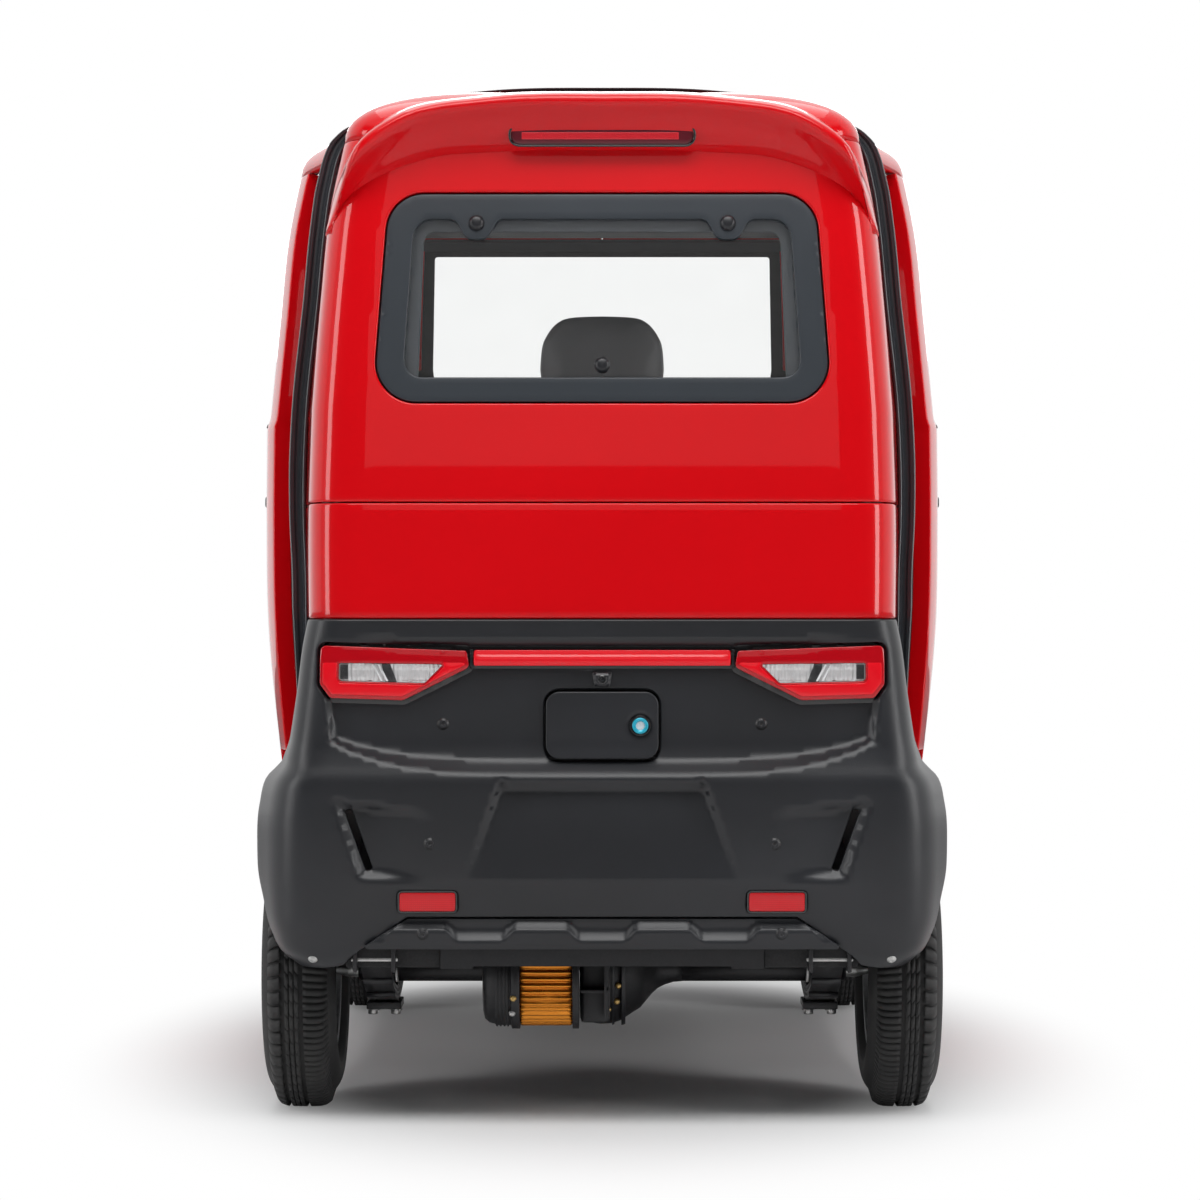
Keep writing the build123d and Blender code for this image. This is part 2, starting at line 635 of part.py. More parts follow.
def front_moulding():
    """The charcoal nose bumper with both front fenders and the air intake."""
    moulding = wall(FRONT_ROWS, front_path, 0, SKIN)
    moulding += fender_lid(FRONT_ROWS, front_path, box(-292, 292, 0, 1085, 200, 800))
    moulding -= wheel_space(FRONT_AXLE_Y, ARCH_R, 292, 700)
    return moulding - prism_y(INTAKE_OUTLINE, 18.0, 1112, 1200)


def liners(axle_y, inner_x, moulding):
    """The pair of arch liners that part the wheels from the cabin, fitted inside a moulding."""
    thick = 8.0
    ring = rod_x(inner_x, 520, axle_y, TYRE_R, ARCH_R + thick)
    ring -= rod_x(inner_x + thick, 530, axle_y, TYRE_R, ARCH_R)
    ring &= box(0, 700, axle_y - 300, axle_y + 300, 253, 700)
    ring -= rod((200, axle_y, UPPER_ARM_IN_Z), (KINGPIN_X, axle_y, UPPER_ARM_OUT_Z), 18.0)
    ring -= moulding
    return both(max(ring.solids(), key=lambda solid: solid.volume))


# ---------------------------------------------------------------- floor, frame and cabin fittings
FLOOR_Z0, FLOOR_Z1 = 300.0, 318.0
DECK_Z0, DECK_Z1 = 556.0, 572.0
BULKHEAD_Y = -480.0


def floor_pan():
    """Cabin floor, footwell, bulkhead and the deck over the rear axle, in one pressing."""
    floor = box(-455, 455, BULKHEAD_Y, 425, FLOOR_Z0, FLOOR_Z1)
    floor += box(-280, 280, 425, 900, FLOOR_Z0, FLOOR_Z1)
    floor += box(-280, 280, 884, 900, FLOOR_Z0, 740)
    floor += box(-455, 455, BULKHEAD_Y, BULKHEAD_Y + 16, FLOOR_Z1, DECK_Z1)
    return floor + box(-380, 380, -1085, BULKHEAD_Y + 16, DECK_Z0, DECK_Z1)


CHASSIS_IN, CHASSIS_OUT = 200.0, 250.0
CHASSIS_Z0, CHASSIS_Z1 = 250.0, 298.0


def chassis_rails():
    """The two long box rails under the floor."""
    rail = box(CHASSIS_IN, CHASSIS_OUT, -1075, 1038, CHASSIS_Z0, CHASSIS_Z1)
    return both(rail)


def cross_members():
    """Cross members between the rails, outriggers to the sills and the bumper irons."""
    bars = [box(-CHASSIS_IN, CHASSIS_IN, y - 20, y + 20, 254, 294) for y in (-1055, -520, 370)]
    for y in (-440, -20, 400):
        out = box(CHASSIS_OUT, 455, y - 18, y + 18, 262, 298)
        bars += [*out.solids(), *mirrored(out).solids()]
    tow = box(-30, 30, 998, 1040, TOW_Z - TOW_R - TOW_WALL, CHASSIS_Z1)
    tow -= rod((0, 990, TOW_Z), (0, 1100, TOW_Z), TOW_R)
    nose_bar = box(-CHASSIS_IN, CHASSIS_IN, 998, 1018, 258, 298) - box(-30, 30, 900, 1100, 200, 300)
    bars.append((nose_bar + tow).solids()[0])
    return Compound([bar.solids()[0] for bar in bars])


def dashboard():
    """The dashboard across the cabin, hollow forms left out."""
    profile = [(470, 770), (700, 770), (700, 915), (520, 945), (452, 912), (440, 850)]
    dash = prism_x(profile, [20, 10, 10, 40, 20, 20], -385, 385)
    return dash


WHEEL_HUB = (0.0, 205.0, 935.0)
COLUMN_FOOT = (0.0, 480.0, 835.0)
WHEEL_RING_R = 165.0
GRIP_R = 13.0


def column_axis():
    """The column's direction, towards the driver."""
    return (Vector(*WHEEL_HUB) - Vector(*COLUMN_FOOT)).normalized()


def steering_column():
    """The column out of the dashboard, and the lower shaft down to the floor."""
    tip = Vector(*WHEEL_HUB) - column_axis() * 26
    column = rod(COLUMN_FOOT, tuple(tip), 26.0) - Pos(0, -0.5, 0.5) * dashboard()
    shaft = rod((0, 610, 766), (0, 664, FLOOR_Z1 + 2), 10.0)
    return Compound([max(column.solids(), key=lambda solid: solid.volume), shaft.solids()[0]])


def steering_wheel():
    """The wheel's ring, hub and three spokes."""
    plane = Plane(origin=WHEEL_HUB, x_dir=(1, 0, 0), z_dir=column_axis())
    wheel = plane * Torus(WHEEL_RING_R, GRIP_R)
    wheel += plane * Pos(0, 0, -4) * Cylinder(42, 32)
    for turn in (0, 180, 270):
        wheel += plane * Rot(0, 0, turn) * Pos(WHEEL_RING_R / 2 + 8, 0, -3) * Box(WHEEL_RING_R - 20, 26, 9)
    return wheel


def seat_base():
    """The plain box under the seat."""
    return prism_x([(-425, 320), (40, 320), (40, 462), (-425, 462)], 12.0, -205, 205)


def seat_cushion():
    """The seat's cushion."""
    profile = [(-400, 464), (100, 470), (108, 548), (60, 566), (-400, 552)]
    return prism_x(profile, [12, 25, 25, 40, 20], -225, 225)


def seat_back():
    """The seat's back."""
    profile = [(-458, 566), (-345, 566), (-392, 1040), (-412, 1062), (-455, 1062), (-472, 1040)]
    return prism_x(profile, [20, 45, 25, 15, 15, 25], -220, 220)


def headrest():
    """The headrest on its two posts."""
    pad = prism_y([(-110, 1098), (110, 1098), (110, 1262), (78, 1310), (-78, 1310), (-110, 1262)],
                  [28, 28, 50, 50, 50, 50], -478, -408)
    post = rod((62, -443, 1063), (62, -443, 1100), 6.0)
    return pad + post + mirrored(post)


# ---------------------------------------------------------------- running gear
AXLE_Z = TYRE_R
AXLE_TUBE_R = 20.0
STUB_R = 15.0
STUB_REACH = 36.0
MOTOR_Y, MOTOR_Z, MOTOR_R = -897.0, 218.0, 75.0
STATOR_X0, STATOR_X1 = -130.0, -37.0
CAP_X0 = -189.0
CASE_X1 = 45.0
FLARE_X1 = 121.0
TUBE_END_X = 395.0


def rear_axle():
    """The two axle tubes with their bright stub shafts."""
    left = rod_x(-TUBE_END_X, STATOR_X1 - 0.5, REAR_AXLE_Y, AXLE_Z, AXLE_TUBE_R)
    left += rod_x(-HALF_TRACK - STUB_REACH, -TUBE_END_X, REAR_AXLE_Y, AXLE_Z, STUB_R)
    right = rod_x(FLARE_X1, TUBE_END_X, REAR_AXLE_Y, AXLE_Z, AXLE_TUBE_R)
    right += rod_x(TUBE_END_X, HALF_TRACK + STUB_REACH, REAR_AXLE_Y, AXLE_Z, STUB_R)
    return Compound([*left.solids(), *right.solids()])


def drive_motor():
    """The motor's end cap, and the gear case with the differential's flare."""
    cap = rod_x(CAP_X0, STATOR_X0, MOTOR_Y, MOTOR_Z, MOTOR_R + 2)
    case = rod_x(STATOR_X1, CASE_X1, MOTOR_Y, MOTOR_Z, MOTOR_R)
    case += rod_x(STATOR_X1, CASE_X1, REAR_AXLE_Y, AXLE_Z, 66)
    case += box(STATOR_X1, CASE_X1, MOTOR_Y, REAR_AXLE_Y, AXLE_Z - 64, AXLE_Z + 64)
    place = Pos((CASE_X1 + FLARE_X1) / 2, REAR_AXLE_Y, AXLE_Z) * Rot(0, 90, 0)
    flare = place * Cone(60, 21, FLARE_X1 - CASE_X1)
    return Compound([*cap.solids(), *(case + flare).solids()])


FIN_COUNT = 30
FIN_DEPTH = 5.0


def motor_stator():
    """The stator, with fins that run along it."""
    pitch = 2 * pi / FIN_COUNT
    outline = []
    for fin in range(FIN_COUNT):
        for part, depth in ((0.0, 0.0), (0.55, 0.0), (0.6, FIN_DEPTH), (0.95, FIN_DEPTH)):
            radius = MOTOR_R - depth
            angle = (fin + part) * pitch
            outline.append((MOTOR_Y + radius * cos(angle), MOTOR_Z + radius * sin(angle)))
    return prism_x(outline, 0, STATOR_X0, STATOR_X1)


SPRING_X0, SPRING_X1 = 328.0, 376.0


def leaf_springs():
    """Both leaf packs with their clamps and hangers."""
    leaf = [(-1062, 258), (-920, 198), (REAR_AXLE_Y, 174), (-640, 198), (-498, 258),
            (-498, 274), (-640, 214), (REAR_AXLE_Y, 190), (-920, 214), (-1062, 274)]
    spring = prism_x(leaf, [0, 300, 300, 300, 0, 0, 300, 300, 300, 0], SPRING_X0, SPRING_X1)
    spring += box(312, 392, REAR_AXLE_Y - 45, REAR_AXLE_Y + 45, 150, 183)
    spring += box(CHASSIS_OUT, 384, -520, -490, 250, 298)
    spring += box(CHASSIS_OUT, 384, -1070, -1040, 250, 298)
    return both(spring)


BEAD_X, BEAD_R, FLANGE_R = 42.0, 124.2, 136.0


def tyre():
    """A right-hand tyre about the X axis, its middle at the origin."""
    shoulder, crown = (47.0, 199.0, 0), (36.5, 214.0, 0)

    def other(point):
        return (-point[0], point[1], 0)

    bead, lip, bulge = (BEAD_X, BEAD_R, 0), (BEAD_X, FLANGE_R, 0), (TYRE_W / 2, 172.0, 0)
    profile = [
        Edge.make_line(other(bead), bead),
        Edge.make_line(bead, lip),
        Edge.make_three_point_arc(lip, bulge, shoulder),
        Edge.make_line(shoulder, crown),
        Edge.make_three_point_arc(crown, (0, TYRE_R, 0), other(crown)),
        Edge.make_line(other(crown), other(shoulder)),
        Edge.make_three_point_arc(other(shoulder), other(bulge), other(lip)),
        Edge.make_line(other(lip), other(bead)),
    ]
    return revolve(Face(Wire(profile)), Axis.X)


def rim(drum):
    """A right-hand wheel about the X axis: rim, disc with holes, hub, and a brake drum or disc."""
    edge, step = BEAD_X + 5, BEAD_X + 1
    outline = [(-edge, 118), (edge, 118), (edge, 134), (step, 134), (step, 124),
               (-step, 124), (-step, 134), (-edge, 134)]
    barrel = revolve(Face(Wire.make_polygon([(x, r, 0) for x, r in outline], close=True)), Axis.X)
    disc = rod_x(16, 26, 0, 0, 119)
    for turn in range(6):
        angle = radians(60 * turn)
        disc -= rod_x(0, 40, 84 * cos(angle), 84 * sin(angle), 17)
    hub = rod_x(1, 40, 0, 0, 32)
    hub += rod_x(-40, 2, 0, 0, 82) if drum else rod_x(1, 7, 0, 0, 92)
    return barrel + disc + hub - rod_x(-60, 60, 0, 0, STUB_R + 0.05)


def place_wheel(shape, side, axle_y):
    """A right-hand wheel piece at one of the four corners."""
    piece = shape if side > 0 else mirrored(shape)
    return Pos(side * HALF_TRACK, axle_y, AXLE_Z) * piece


POST_Z0, POST_Z1 = 160.0, 284.0
POST_R = 13.0
PIN_R = 6.0
EYE_LENGTH = 18.0
UPPER_ARM_IN_Z, UPPER_ARM_OUT_Z = 270.0, 295.0
TIE_ROD_Z = 192.0


def knuckle():
    """The right knuckle: kingpin post with its pins, spindle and steering arm."""
    post = rod((KINGPIN_X, FRONT_AXLE_Y, POST_Z0), (KINGPIN_X, FRONT_AXLE_Y, POST_Z1), POST_R)
    post += rod((KINGPIN_X, FRONT_AXLE_Y, POST_Z0 - EYE_LENGTH - 2),
                (KINGPIN_X, FRONT_AXLE_Y, POST_Z1 + EYE_LENGTH + 2), PIN_R)
    spindle = rod_x(KINGPIN_X, HALF_TRACK + STUB_REACH, FRONT_AXLE_Y, AXLE_Z, STUB_R)
    arm_y = FRONT_AXLE_Y - STEER_ARM
    arm = box(KINGPIN_X - 10, KINGPIN_X + 6, arm_y - 9, FRONT_AXLE_Y, TIE_ROD_Z + 13, TIE_ROD_Z + 24)
    return post + spindle + arm


def eye(z):
    """A kingpin eye whose lower face is at z."""
    ring = rod((KINGPIN_X, FRONT_AXLE_Y, z), (KINGPIN_X, FRONT_AXLE_Y, z + EYE_LENGTH), POST_R)
    return ring - rod((KINGPIN_X, FRONT_AXLE_Y, z - 50), (KINGPIN_X, FRONT_AXLE_Y, z + 50), PIN_R + 0.1)


def arm_end(z):
    """The kingpin's space at the end of an arm."""
    return rod((KINGPIN_X, FRONT_AXLE_Y, z - 50), (KINGPIN_X, FRONT_AXLE_Y, z + 70), PIN_R + 1)


def front_arms():
    """The upper links from the chassis rails to the kingpins."""
    inner = (CHASSIS_OUT + 1.5, FRONT_AXLE_Y, UPPER_ARM_IN_Z)
    link = rod(inner, (KINGPIN_X, FRONT_AXLE_Y, UPPER_ARM_OUT_Z), 8.0)
    return both(link - arm_end(POST_Z1) + eye(POST_Z1 + 1))


def front_beam():
    """The beam that joins the front springs to the chassis rails."""
    return box(-CHASSIS_OUT, CHASSIS_OUT, FRONT_AXLE_Y - 30, FRONT_AXLE_Y + 30, 196, CHASSIS_Z0)


def front_spring():
    """The transverse leaf that carries the kingpins from below, clamped under the beam."""
    low = POST_Z0 - EYE_LENGTH - 1
    under = [(-450, low + 2), (-200, 180), (200, 180), (450, low + 2)]
    over = [(450, low + 16), (200, 196), (-200, 196), (-450, low + 16)]
    spring = prism_y(under + over, [0, 300, 300, 0, 0, 300, 300, 0], FRONT_AXLE_Y - 12, FRONT_AXLE_Y + 12)
    ends = arm_end(POST_Z0 - EYE_LENGTH)
    ring = eye(low)
    return spring - ends - mirrored(ends) + ring + mirrored(ring)


def tie_rod():
    """The rod that links both steering arms."""
    return rod_x(-KINGPIN_X - 4, KINGPIN_X + 4, FRONT_AXLE_Y - STEER_ARM, TIE_ROD_Z, 7.0)


# ---------------------------------------------------------------- build
def main():
    """Build and write every node."""
    lower, upper = side_wall()
    door = side_door(lower, upper)
    glass = side_glass()
    frame = side_frame(lower, upper)
    for name, shape in (("door", door), ("door_glass", glass), ("side_frame", frame)):
        write(f"{name}_right", shape)
        write(f"{name}_left", mirrored(shape))
    rear_upper = rear_panel_upper()
    roof = max((roof_panel() - rear_upper).solids(), key=lambda solid: solid.volume)
    write("roof_panel", roof)
    write("rear_panel_upper", rear_upper)
    write("rear_panel_lower", rear_panel_lower())
    ring, pane = rear_window()
    write("rear_window_frame", ring)
    write("rear_window_glass", pane)
    write("drip_rail", max((drip_rail() - roof).solids(), key=lambda solid: solid.volume))
    write("windscreen", windscreen())
    write("nose_panel", nose_panel())
    write("headlamps", headlamps())
    rear = rear_moulding()
    write("rear_moulding", rear)
    write("tail_lamps", tail_lamps())
    write("rear_reflectors", rear_reflectors())
    write("rear_insert", rear_insert())
    write("charge_lid", charge_lid())
    write("charge_port", charge_port())
    write("high_stop_lamp", high_stop_lamp())
    front = front_moulding()
    write("front_moulding", front)
    write("rear_liners", liners(REAR_AXLE_Y, 383, rear))
    write("front_liners", liners(FRONT_AXLE_Y, 283, front))
    write("floor_pan", floor_pan())
    write("chassis_rails", chassis_rails())
    write("cross_members", cross_members())
    write("battery_pack", box(-190, 190, -460, 320, 205, 298))
    write("dashboard", dashboard())
    write("steering_column", steering_column())
    write("steering_wheel", steering_wheel())
    write("seat_base", seat_base())
    write("seat_cushion", seat_cushion())
    write("seat_back", seat_back())
    write("headrest", headrest())
    write("rear_axle", rear_axle())
    write("drive_motor", drive_motor())
    write("motor_stator", motor_stator())
    write("leaf_springs", leaf_springs())
    for side, hand in ((1, "right"), (-1, "left")):
        write(f"rear_wheel_{hand}", place_wheel(rim(drum=True), side, REAR_AXLE_Y))
        write(f"rear_tyre_{hand}", place_wheel(tyre(), side, REAR_AXLE_Y))
        write(f"front_wheel_{hand}", place_wheel(rim(drum=False), side, FRONT_AXLE_Y))
        write(f"front_tyre_{hand}", place_wheel(tyre(), side, FRONT_AXLE_Y))
    write("knuckle_right", knuckle())
    write("knuckle_left", mirrored(knuckle()))
    write("front_beam", front_beam())
    write("front_arms", front_arms())
    write("front_spring", front_spring())
    write("tie_rod", tie_rod())


main()
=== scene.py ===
# %% [markdown]
# A small electric car for one row of seats, seen mostly from behind: a glossy red cabin on a matte charcoal
# lower body, with its motor and axle showing underneath. The construction comes from a fixed CAD frame, so
# every length below is in metres in that frame: +Y is forward, +X is right, +Z is up and the car stands on z
# = 0.

# %% Load the frame
from math import cos, pi, radians, sin, tan

import bmesh
import bpy
import numpy as np
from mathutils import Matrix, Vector
from mathutils.geometry import delaunay_2d_cdt


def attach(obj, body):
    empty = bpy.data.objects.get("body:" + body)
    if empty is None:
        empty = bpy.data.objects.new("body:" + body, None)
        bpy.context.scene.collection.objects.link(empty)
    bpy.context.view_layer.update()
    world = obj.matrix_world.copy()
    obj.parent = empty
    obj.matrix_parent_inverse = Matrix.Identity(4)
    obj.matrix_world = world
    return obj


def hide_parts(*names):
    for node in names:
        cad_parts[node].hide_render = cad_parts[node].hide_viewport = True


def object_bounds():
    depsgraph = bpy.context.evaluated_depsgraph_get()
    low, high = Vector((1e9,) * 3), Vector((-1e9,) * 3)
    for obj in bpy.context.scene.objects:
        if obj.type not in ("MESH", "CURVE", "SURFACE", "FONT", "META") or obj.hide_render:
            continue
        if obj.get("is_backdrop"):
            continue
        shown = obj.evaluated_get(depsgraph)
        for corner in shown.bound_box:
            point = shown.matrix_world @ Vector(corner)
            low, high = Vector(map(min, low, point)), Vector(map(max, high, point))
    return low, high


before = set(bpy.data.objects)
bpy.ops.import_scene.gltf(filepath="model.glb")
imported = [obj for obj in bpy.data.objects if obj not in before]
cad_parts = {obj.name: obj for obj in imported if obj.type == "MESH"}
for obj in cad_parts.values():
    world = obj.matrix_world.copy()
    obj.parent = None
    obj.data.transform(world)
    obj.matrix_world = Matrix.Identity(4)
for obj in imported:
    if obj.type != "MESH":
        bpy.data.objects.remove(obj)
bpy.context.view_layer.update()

# %% [markdown]
# The camera comes first. The car is seen squarely from behind, from nearly seven metres away, so a long lens
# keeps the sides almost parallel. The lens is aimed level at mid-height, as a person squatting behind it
# would.

# %% Camera
EYE_DISTANCE = 6.842
EYE_HEIGHT = 0.82
camera = bpy.data.objects.new("camera", bpy.data.cameras.new("camera"))
bpy.context.scene.collection.objects.link(camera)
camera.location = (0.0, -EYE_DISTANCE, EYE_HEIGHT)
camera.rotation_euler = (radians(90.0), 0.0, 0.0)
camera.data.lens = 112.0
camera.data.sensor_width = 36.0
camera.data.shift_x = -0.0018
bpy.context.scene.camera = camera

# %% [markdown]
# Shader maths reads best as plain expressions. The class below wraps the output of a node, so that `dust *
# 0.3 + 0.1` adds two Math nodes by itself. Any other node comes from one method, `node`, which takes the
# node's type, its settings and the values or links of its sockets.

# %% Shader expressions
class Wire:
    """One output of a shader node, with arithmetic that adds Math nodes."""

    def __init__(self, tree, socket):
        self.tree, self.socket = tree, socket

    def node(self, kind, settings=None, output=0, **sockets):
        made = self.tree.nodes.new("ShaderNode" + kind)
        for key, value in (settings or {}).items():
            setattr(made, key, value)
        for key, value in sockets.items():
            index = int(key[1:]) if key[0] == "i" and key[1:].isdigit() else key.replace("_", " ")
            plug(self.tree, made.inputs[index], value)
        return Wire(self.tree, made.outputs[output])

    def math(self, operation, *values):
        sockets = {f"i{i}": value for i, value in enumerate(values)}
        return self.node("Math", {"operation": operation}, **sockets)

    def __add__(self, other):
        return self.math("ADD", self, other)

    def __mul__(self, other):
        return self.math("MULTIPLY", self, other)

    def __sub__(self, other):
        return self.math("SUBTRACT", self, other)

    def __rsub__(self, other):
        return self.math("SUBTRACT", other, self)

    __radd__, __rmul__ = __add__, __mul__

    def blend(self, low, high):
        """low where this is 0 and high where it is 1; both are colours."""
        return self.node("Mix", {"data_type": "RGBA"}, output=2, i0=self, i6=low, i7=high)

    def step(self, low, high):
        """0 below low and 1 above high, eased between."""
        return self.node("MapRange", {"interpolation_type": "SMOOTHSTEP"}, Value=self, From_Min=low,
                         From_Max=high)


def plug(tree, socket, value):
    if isinstance(value, Wire):
        tree.links.new(value.socket, socket)
    elif isinstance(value, tuple) and len(value) == 3 and socket.type == "RGBA":
        socket.default_value = (*value, 1.0)
    else:
        socket.default_value = value


def material(name, recipe, **fixed):
    """A material whose Principled shader has fixed values and the varying ones that recipe returns."""
    made = bpy.data.materials.new(name)
    made.use_nodes = True
    tree = made.node_tree
    shader = tree.nodes["Principled BSDF"]
    for key, value in fixed.items():
        plug(tree, shader.inputs[key.replace("_", " ")], value)
    place = Wire(tree, tree.nodes.new("ShaderNodeTexCoord").outputs["Object"])
    for key, value in recipe(place).items():
        plug(tree, shader.inputs[key.replace("_", " ")], value)
    return made


def speckle(place, scale, detail=2.0, roughness=0.5):
    return place.node("TexNoise", Vector=place, Scale=scale, Detail=detail, Roughness=roughness)


def bumped(height, strength, distance):
    return height.node("Bump", Height=height, Strength=strength, Distance=distance)

# %% [markdown]
# Body panels are thin shells with a rolled edge, and every one lies on one of a few smooth skins. A skin is a
# function of two numbers: how far along the outline, and how high. The outline at each height is a polyline
# whose corners are eased by quintic curves, so a reflection runs round a corner with no kink in it.

# %% Smooth rows and eased corners
def eased_rows(rows, z):
    """Every column of rows at heights z, along cubics whose slopes come from the neighbouring rows."""
    rows = np.array(rows)
    heights, values = rows[:, 0], rows[:, 1:]
    slopes = np.gradient(values, heights, axis=0)
    k = np.clip(np.searchsorted(heights, z) - 1, 0, len(heights) - 2)
    gap = (heights[k + 1] - heights[k])[:, None]
    s = np.clip((z[:, None] - heights[k][:, None]) / gap, 0.0, 1.0)
    low, high = values[k], values[k + 1]
    bend_low, bend_high = slopes[k] * gap, slopes[k + 1] * gap
    cubic = low * (2 * s**3 - 3 * s**2 + 1) + high * (3 * s**2 - 2 * s**3)
    return (cubic + bend_low * (s**3 - 2 * s**2 + s) + bend_high * (s**3 - s**2)).T


def along(corners, radii, distance):
    """Points at a distance along polylines whose inner corners are eased to about their radii."""
    count, samples = len(corners), len(distance)
    legs = [corners[i + 1] - corners[i] for i in range(count - 1)]
    lengths = [np.maximum(np.linalg.norm(leg, axis=0), 1e-6) for leg in legs]
    ways = [leg / length for leg, length in zip(legs, lengths)]
    starts = [np.zeros(samples)]
    for length in lengths:
        starts.append(starts[-1] + length)
    points = corners[0] + ways[0] * distance
    for i in range(1, count - 1):
        points = np.where(distance > starts[i], corners[i] + ways[i] * (distance - starts[i]), points)
    for i in range(1, count - 1):
        half_turn = np.arccos(np.clip((ways[i - 1] * ways[i]).sum(0), -1.0, 1.0)) / 2
        reach = radii[i - 1] * (1 / np.cos(half_turn) - 1) / (0.375 * np.sin(half_turn) + 1e-6)
        reach = np.minimum(reach, 0.49 * np.minimum(lengths[i - 1], lengths[i]))
        s = (distance - starts[i] + reach) / (2 * reach + 1e-9)
        before, after = -ways[i - 1] * reach, ways[i] * reach
        curve = corners[i] + sum(
            weight * s**k * (1 - s) ** (5 - k) * arm
            for k, (weight, arm) in enumerate([
                (1, before), (5, 0.6 * before), (10, 0.2 * before),
                (10, 0.2 * after), (5, 0.6 * after), (1, after)])
        )
        points = np.where((s > 0) & (s < 1), curve, points)
    return points, starts


# %% [markdown]
# A panel's outline is drawn in the skin's own two numbers, as a polygon with round corners. The panel is then
# filled with a regular grid that a constrained triangulation joins to the outline, so holes of any form can
# be cut without losing the smooth surface. Rings roll the edge over, and a second skin behind closes the
# shell.

# %% Outlines
def outline(corners, radii, step=0.005):
    """A closed, anticlockwise, evenly dense loop round corners, each rounded to its radius."""
    corners = np.array(corners, float)
    count = len(corners)
    radii = [radii] * count if np.isscalar(radii) else list(radii)
    turned = (corners[:, 0] * np.roll(corners[:, 1], -1) - np.roll(corners[:, 0], -1) * corners[:, 1]).sum()
    if turned < 0:
        corners, radii = corners[::-1], radii[::-1]
    loop = []
    for i, corner in enumerate(corners):
        back, ahead = corners[i - 1] - corner, corners[(i + 1) % count] - corner
        back_way, ahead_way = back / np.linalg.norm(back), ahead / np.linalg.norm(ahead)
        half = np.arccos(np.clip(back_way @ ahead_way, -1, 1)) / 2
        reach = min(radii[i] / tan(half), 0.46 * np.linalg.norm(back), 0.46 * np.linalg.norm(ahead))
        if reach < 1e-5 or half > 1.5:
            loop.append(corner)
            continue
        radius = reach * tan(half)
        middle = (back_way + ahead_way) / np.linalg.norm(back_way + ahead_way)
        centre = corner + middle * radius / sin(half)
        start, end = corner + back_way * reach - centre, corner + ahead_way * reach - centre
        steps = max(3, int(radius * (pi - 2 * half) / step), int((pi - 2 * half) / 0.3))
        turn = np.sign(start[0] * end[1] - start[1] * end[0]) * (pi - 2 * half)
        for k in range(steps + 1):
            a = turn * k / steps
            loop.append(centre + [start[0] * cos(a) - start[1] * sin(a),
                                  start[0] * sin(a) + start[1] * cos(a)])
    dense = []
    for here, there in zip(loop, loop[1:] + loop[:1]):
        steps = max(1, int(np.ceil(np.linalg.norm(there - here) / (step * 1.6))))
        dense += [here + (there - here) * k / steps for k in range(steps)]
    return np.array(dense)


def rectangle(x0, x1, z0, z1, radius, step=0.005):
    """A round-cornered loop between two places across and two heights."""
    return outline([(x0, z0), (x1, z0), (x1, z1), (x0, z1)], radius, step)


def circle(x, y, radius, count=40):
    angle = np.arange(count) * 2 * pi / count
    return np.stack([x + radius * np.cos(angle), y + radius * np.sin(angle)], 1)


def shrunk(loop, amount):
    """An anticlockwise loop with every point moved in by amount."""
    before, after = loop - np.roll(loop, 1, 0), np.roll(loop, -1, 0) - loop
    before /= np.linalg.norm(before, axis=1)[:, None]
    after /= np.linalg.norm(after, axis=1)[:, None]
    inward = np.stack([-(before + after)[:, 1], (before + after)[:, 0]], 1)
    inward /= np.linalg.norm(inward, axis=1)[:, None]
    stretch = np.maximum(inward[:, 1] * before[:, 0] - inward[:, 0] * before[:, 1], 0.5)
    return loop + inward * (amount / stretch)[:, None]


def mirrored_loop(loop):
    return (loop * [-1, 1])[::-1]


def anticlockwise(loop):
    ahead = np.roll(loop, -1, 0)
    return loop if (loop[:, 0] * ahead[:, 1] - ahead[:, 0] * loop[:, 1]).sum() > 0 else loop[::-1]


def inside(loop, points):
    """Which points lie in a loop."""
    a, b = loop, np.roll(loop, -1, 0)
    x, y = points[:, 0, None], points[:, 1, None]
    crosses = (a[:, 1] > y) != (b[:, 1] > y)
    slope = (b[:, 0] - a[:, 0]) / np.where(b[:, 1] == a[:, 1], 1e-12, b[:, 1] - a[:, 1])
    return (crosses & (x < a[:, 0] + (y - a[:, 1]) * slope)).sum(1) % 2 == 1


def distance_to(loop, points, closed=True):
    """How far points are from a loop or a path."""
    a = loop if closed else loop[:-1]
    b = np.roll(loop, -1, 0) if closed else loop[1:]
    run = b - a
    part = ((points[:, None] - a) * run).sum(2) / np.maximum((run * run).sum(1), 1e-12)
    nearest = a + np.clip(part, 0, 1)[..., None] * run
    return np.sqrt(((points[:, None] - nearest) ** 2).sum(2).min(1))


def depth_in(loop, points):
    """Distance from a loop's edge, positive inside it."""
    return np.where(inside(loop, points), 1, -1) * distance_to(loop, points)


def smooth(x, low, high):
    s = np.clip((x - low) / (high - low), 0.0, 1.0)
    return s * s * (3 - 2 * s)

# %% Finished pieces
MADE = {}


def shown(name, data):
    """A new object with this data, in the scene."""
    made = bpy.data.objects.new(name, data)
    bpy.context.scene.collection.objects.link(made)
    return made


def mesh_of(name, points, faces):
    mesh = bpy.data.meshes.new(name)
    mesh.from_pydata([tuple(map(float, p)) for p in points], [], [tuple(f) for f in faces])
    return mesh


def piece(name, points, faces, body, slot, finish, stands_for=()):
    """A mesh piece: its points, its faces, the body it rides on and the finish it wears."""
    mesh = mesh_of(name, points, faces)
    mesh.validate()
    return dressed(shown(name, mesh), body, finish, stands_for)


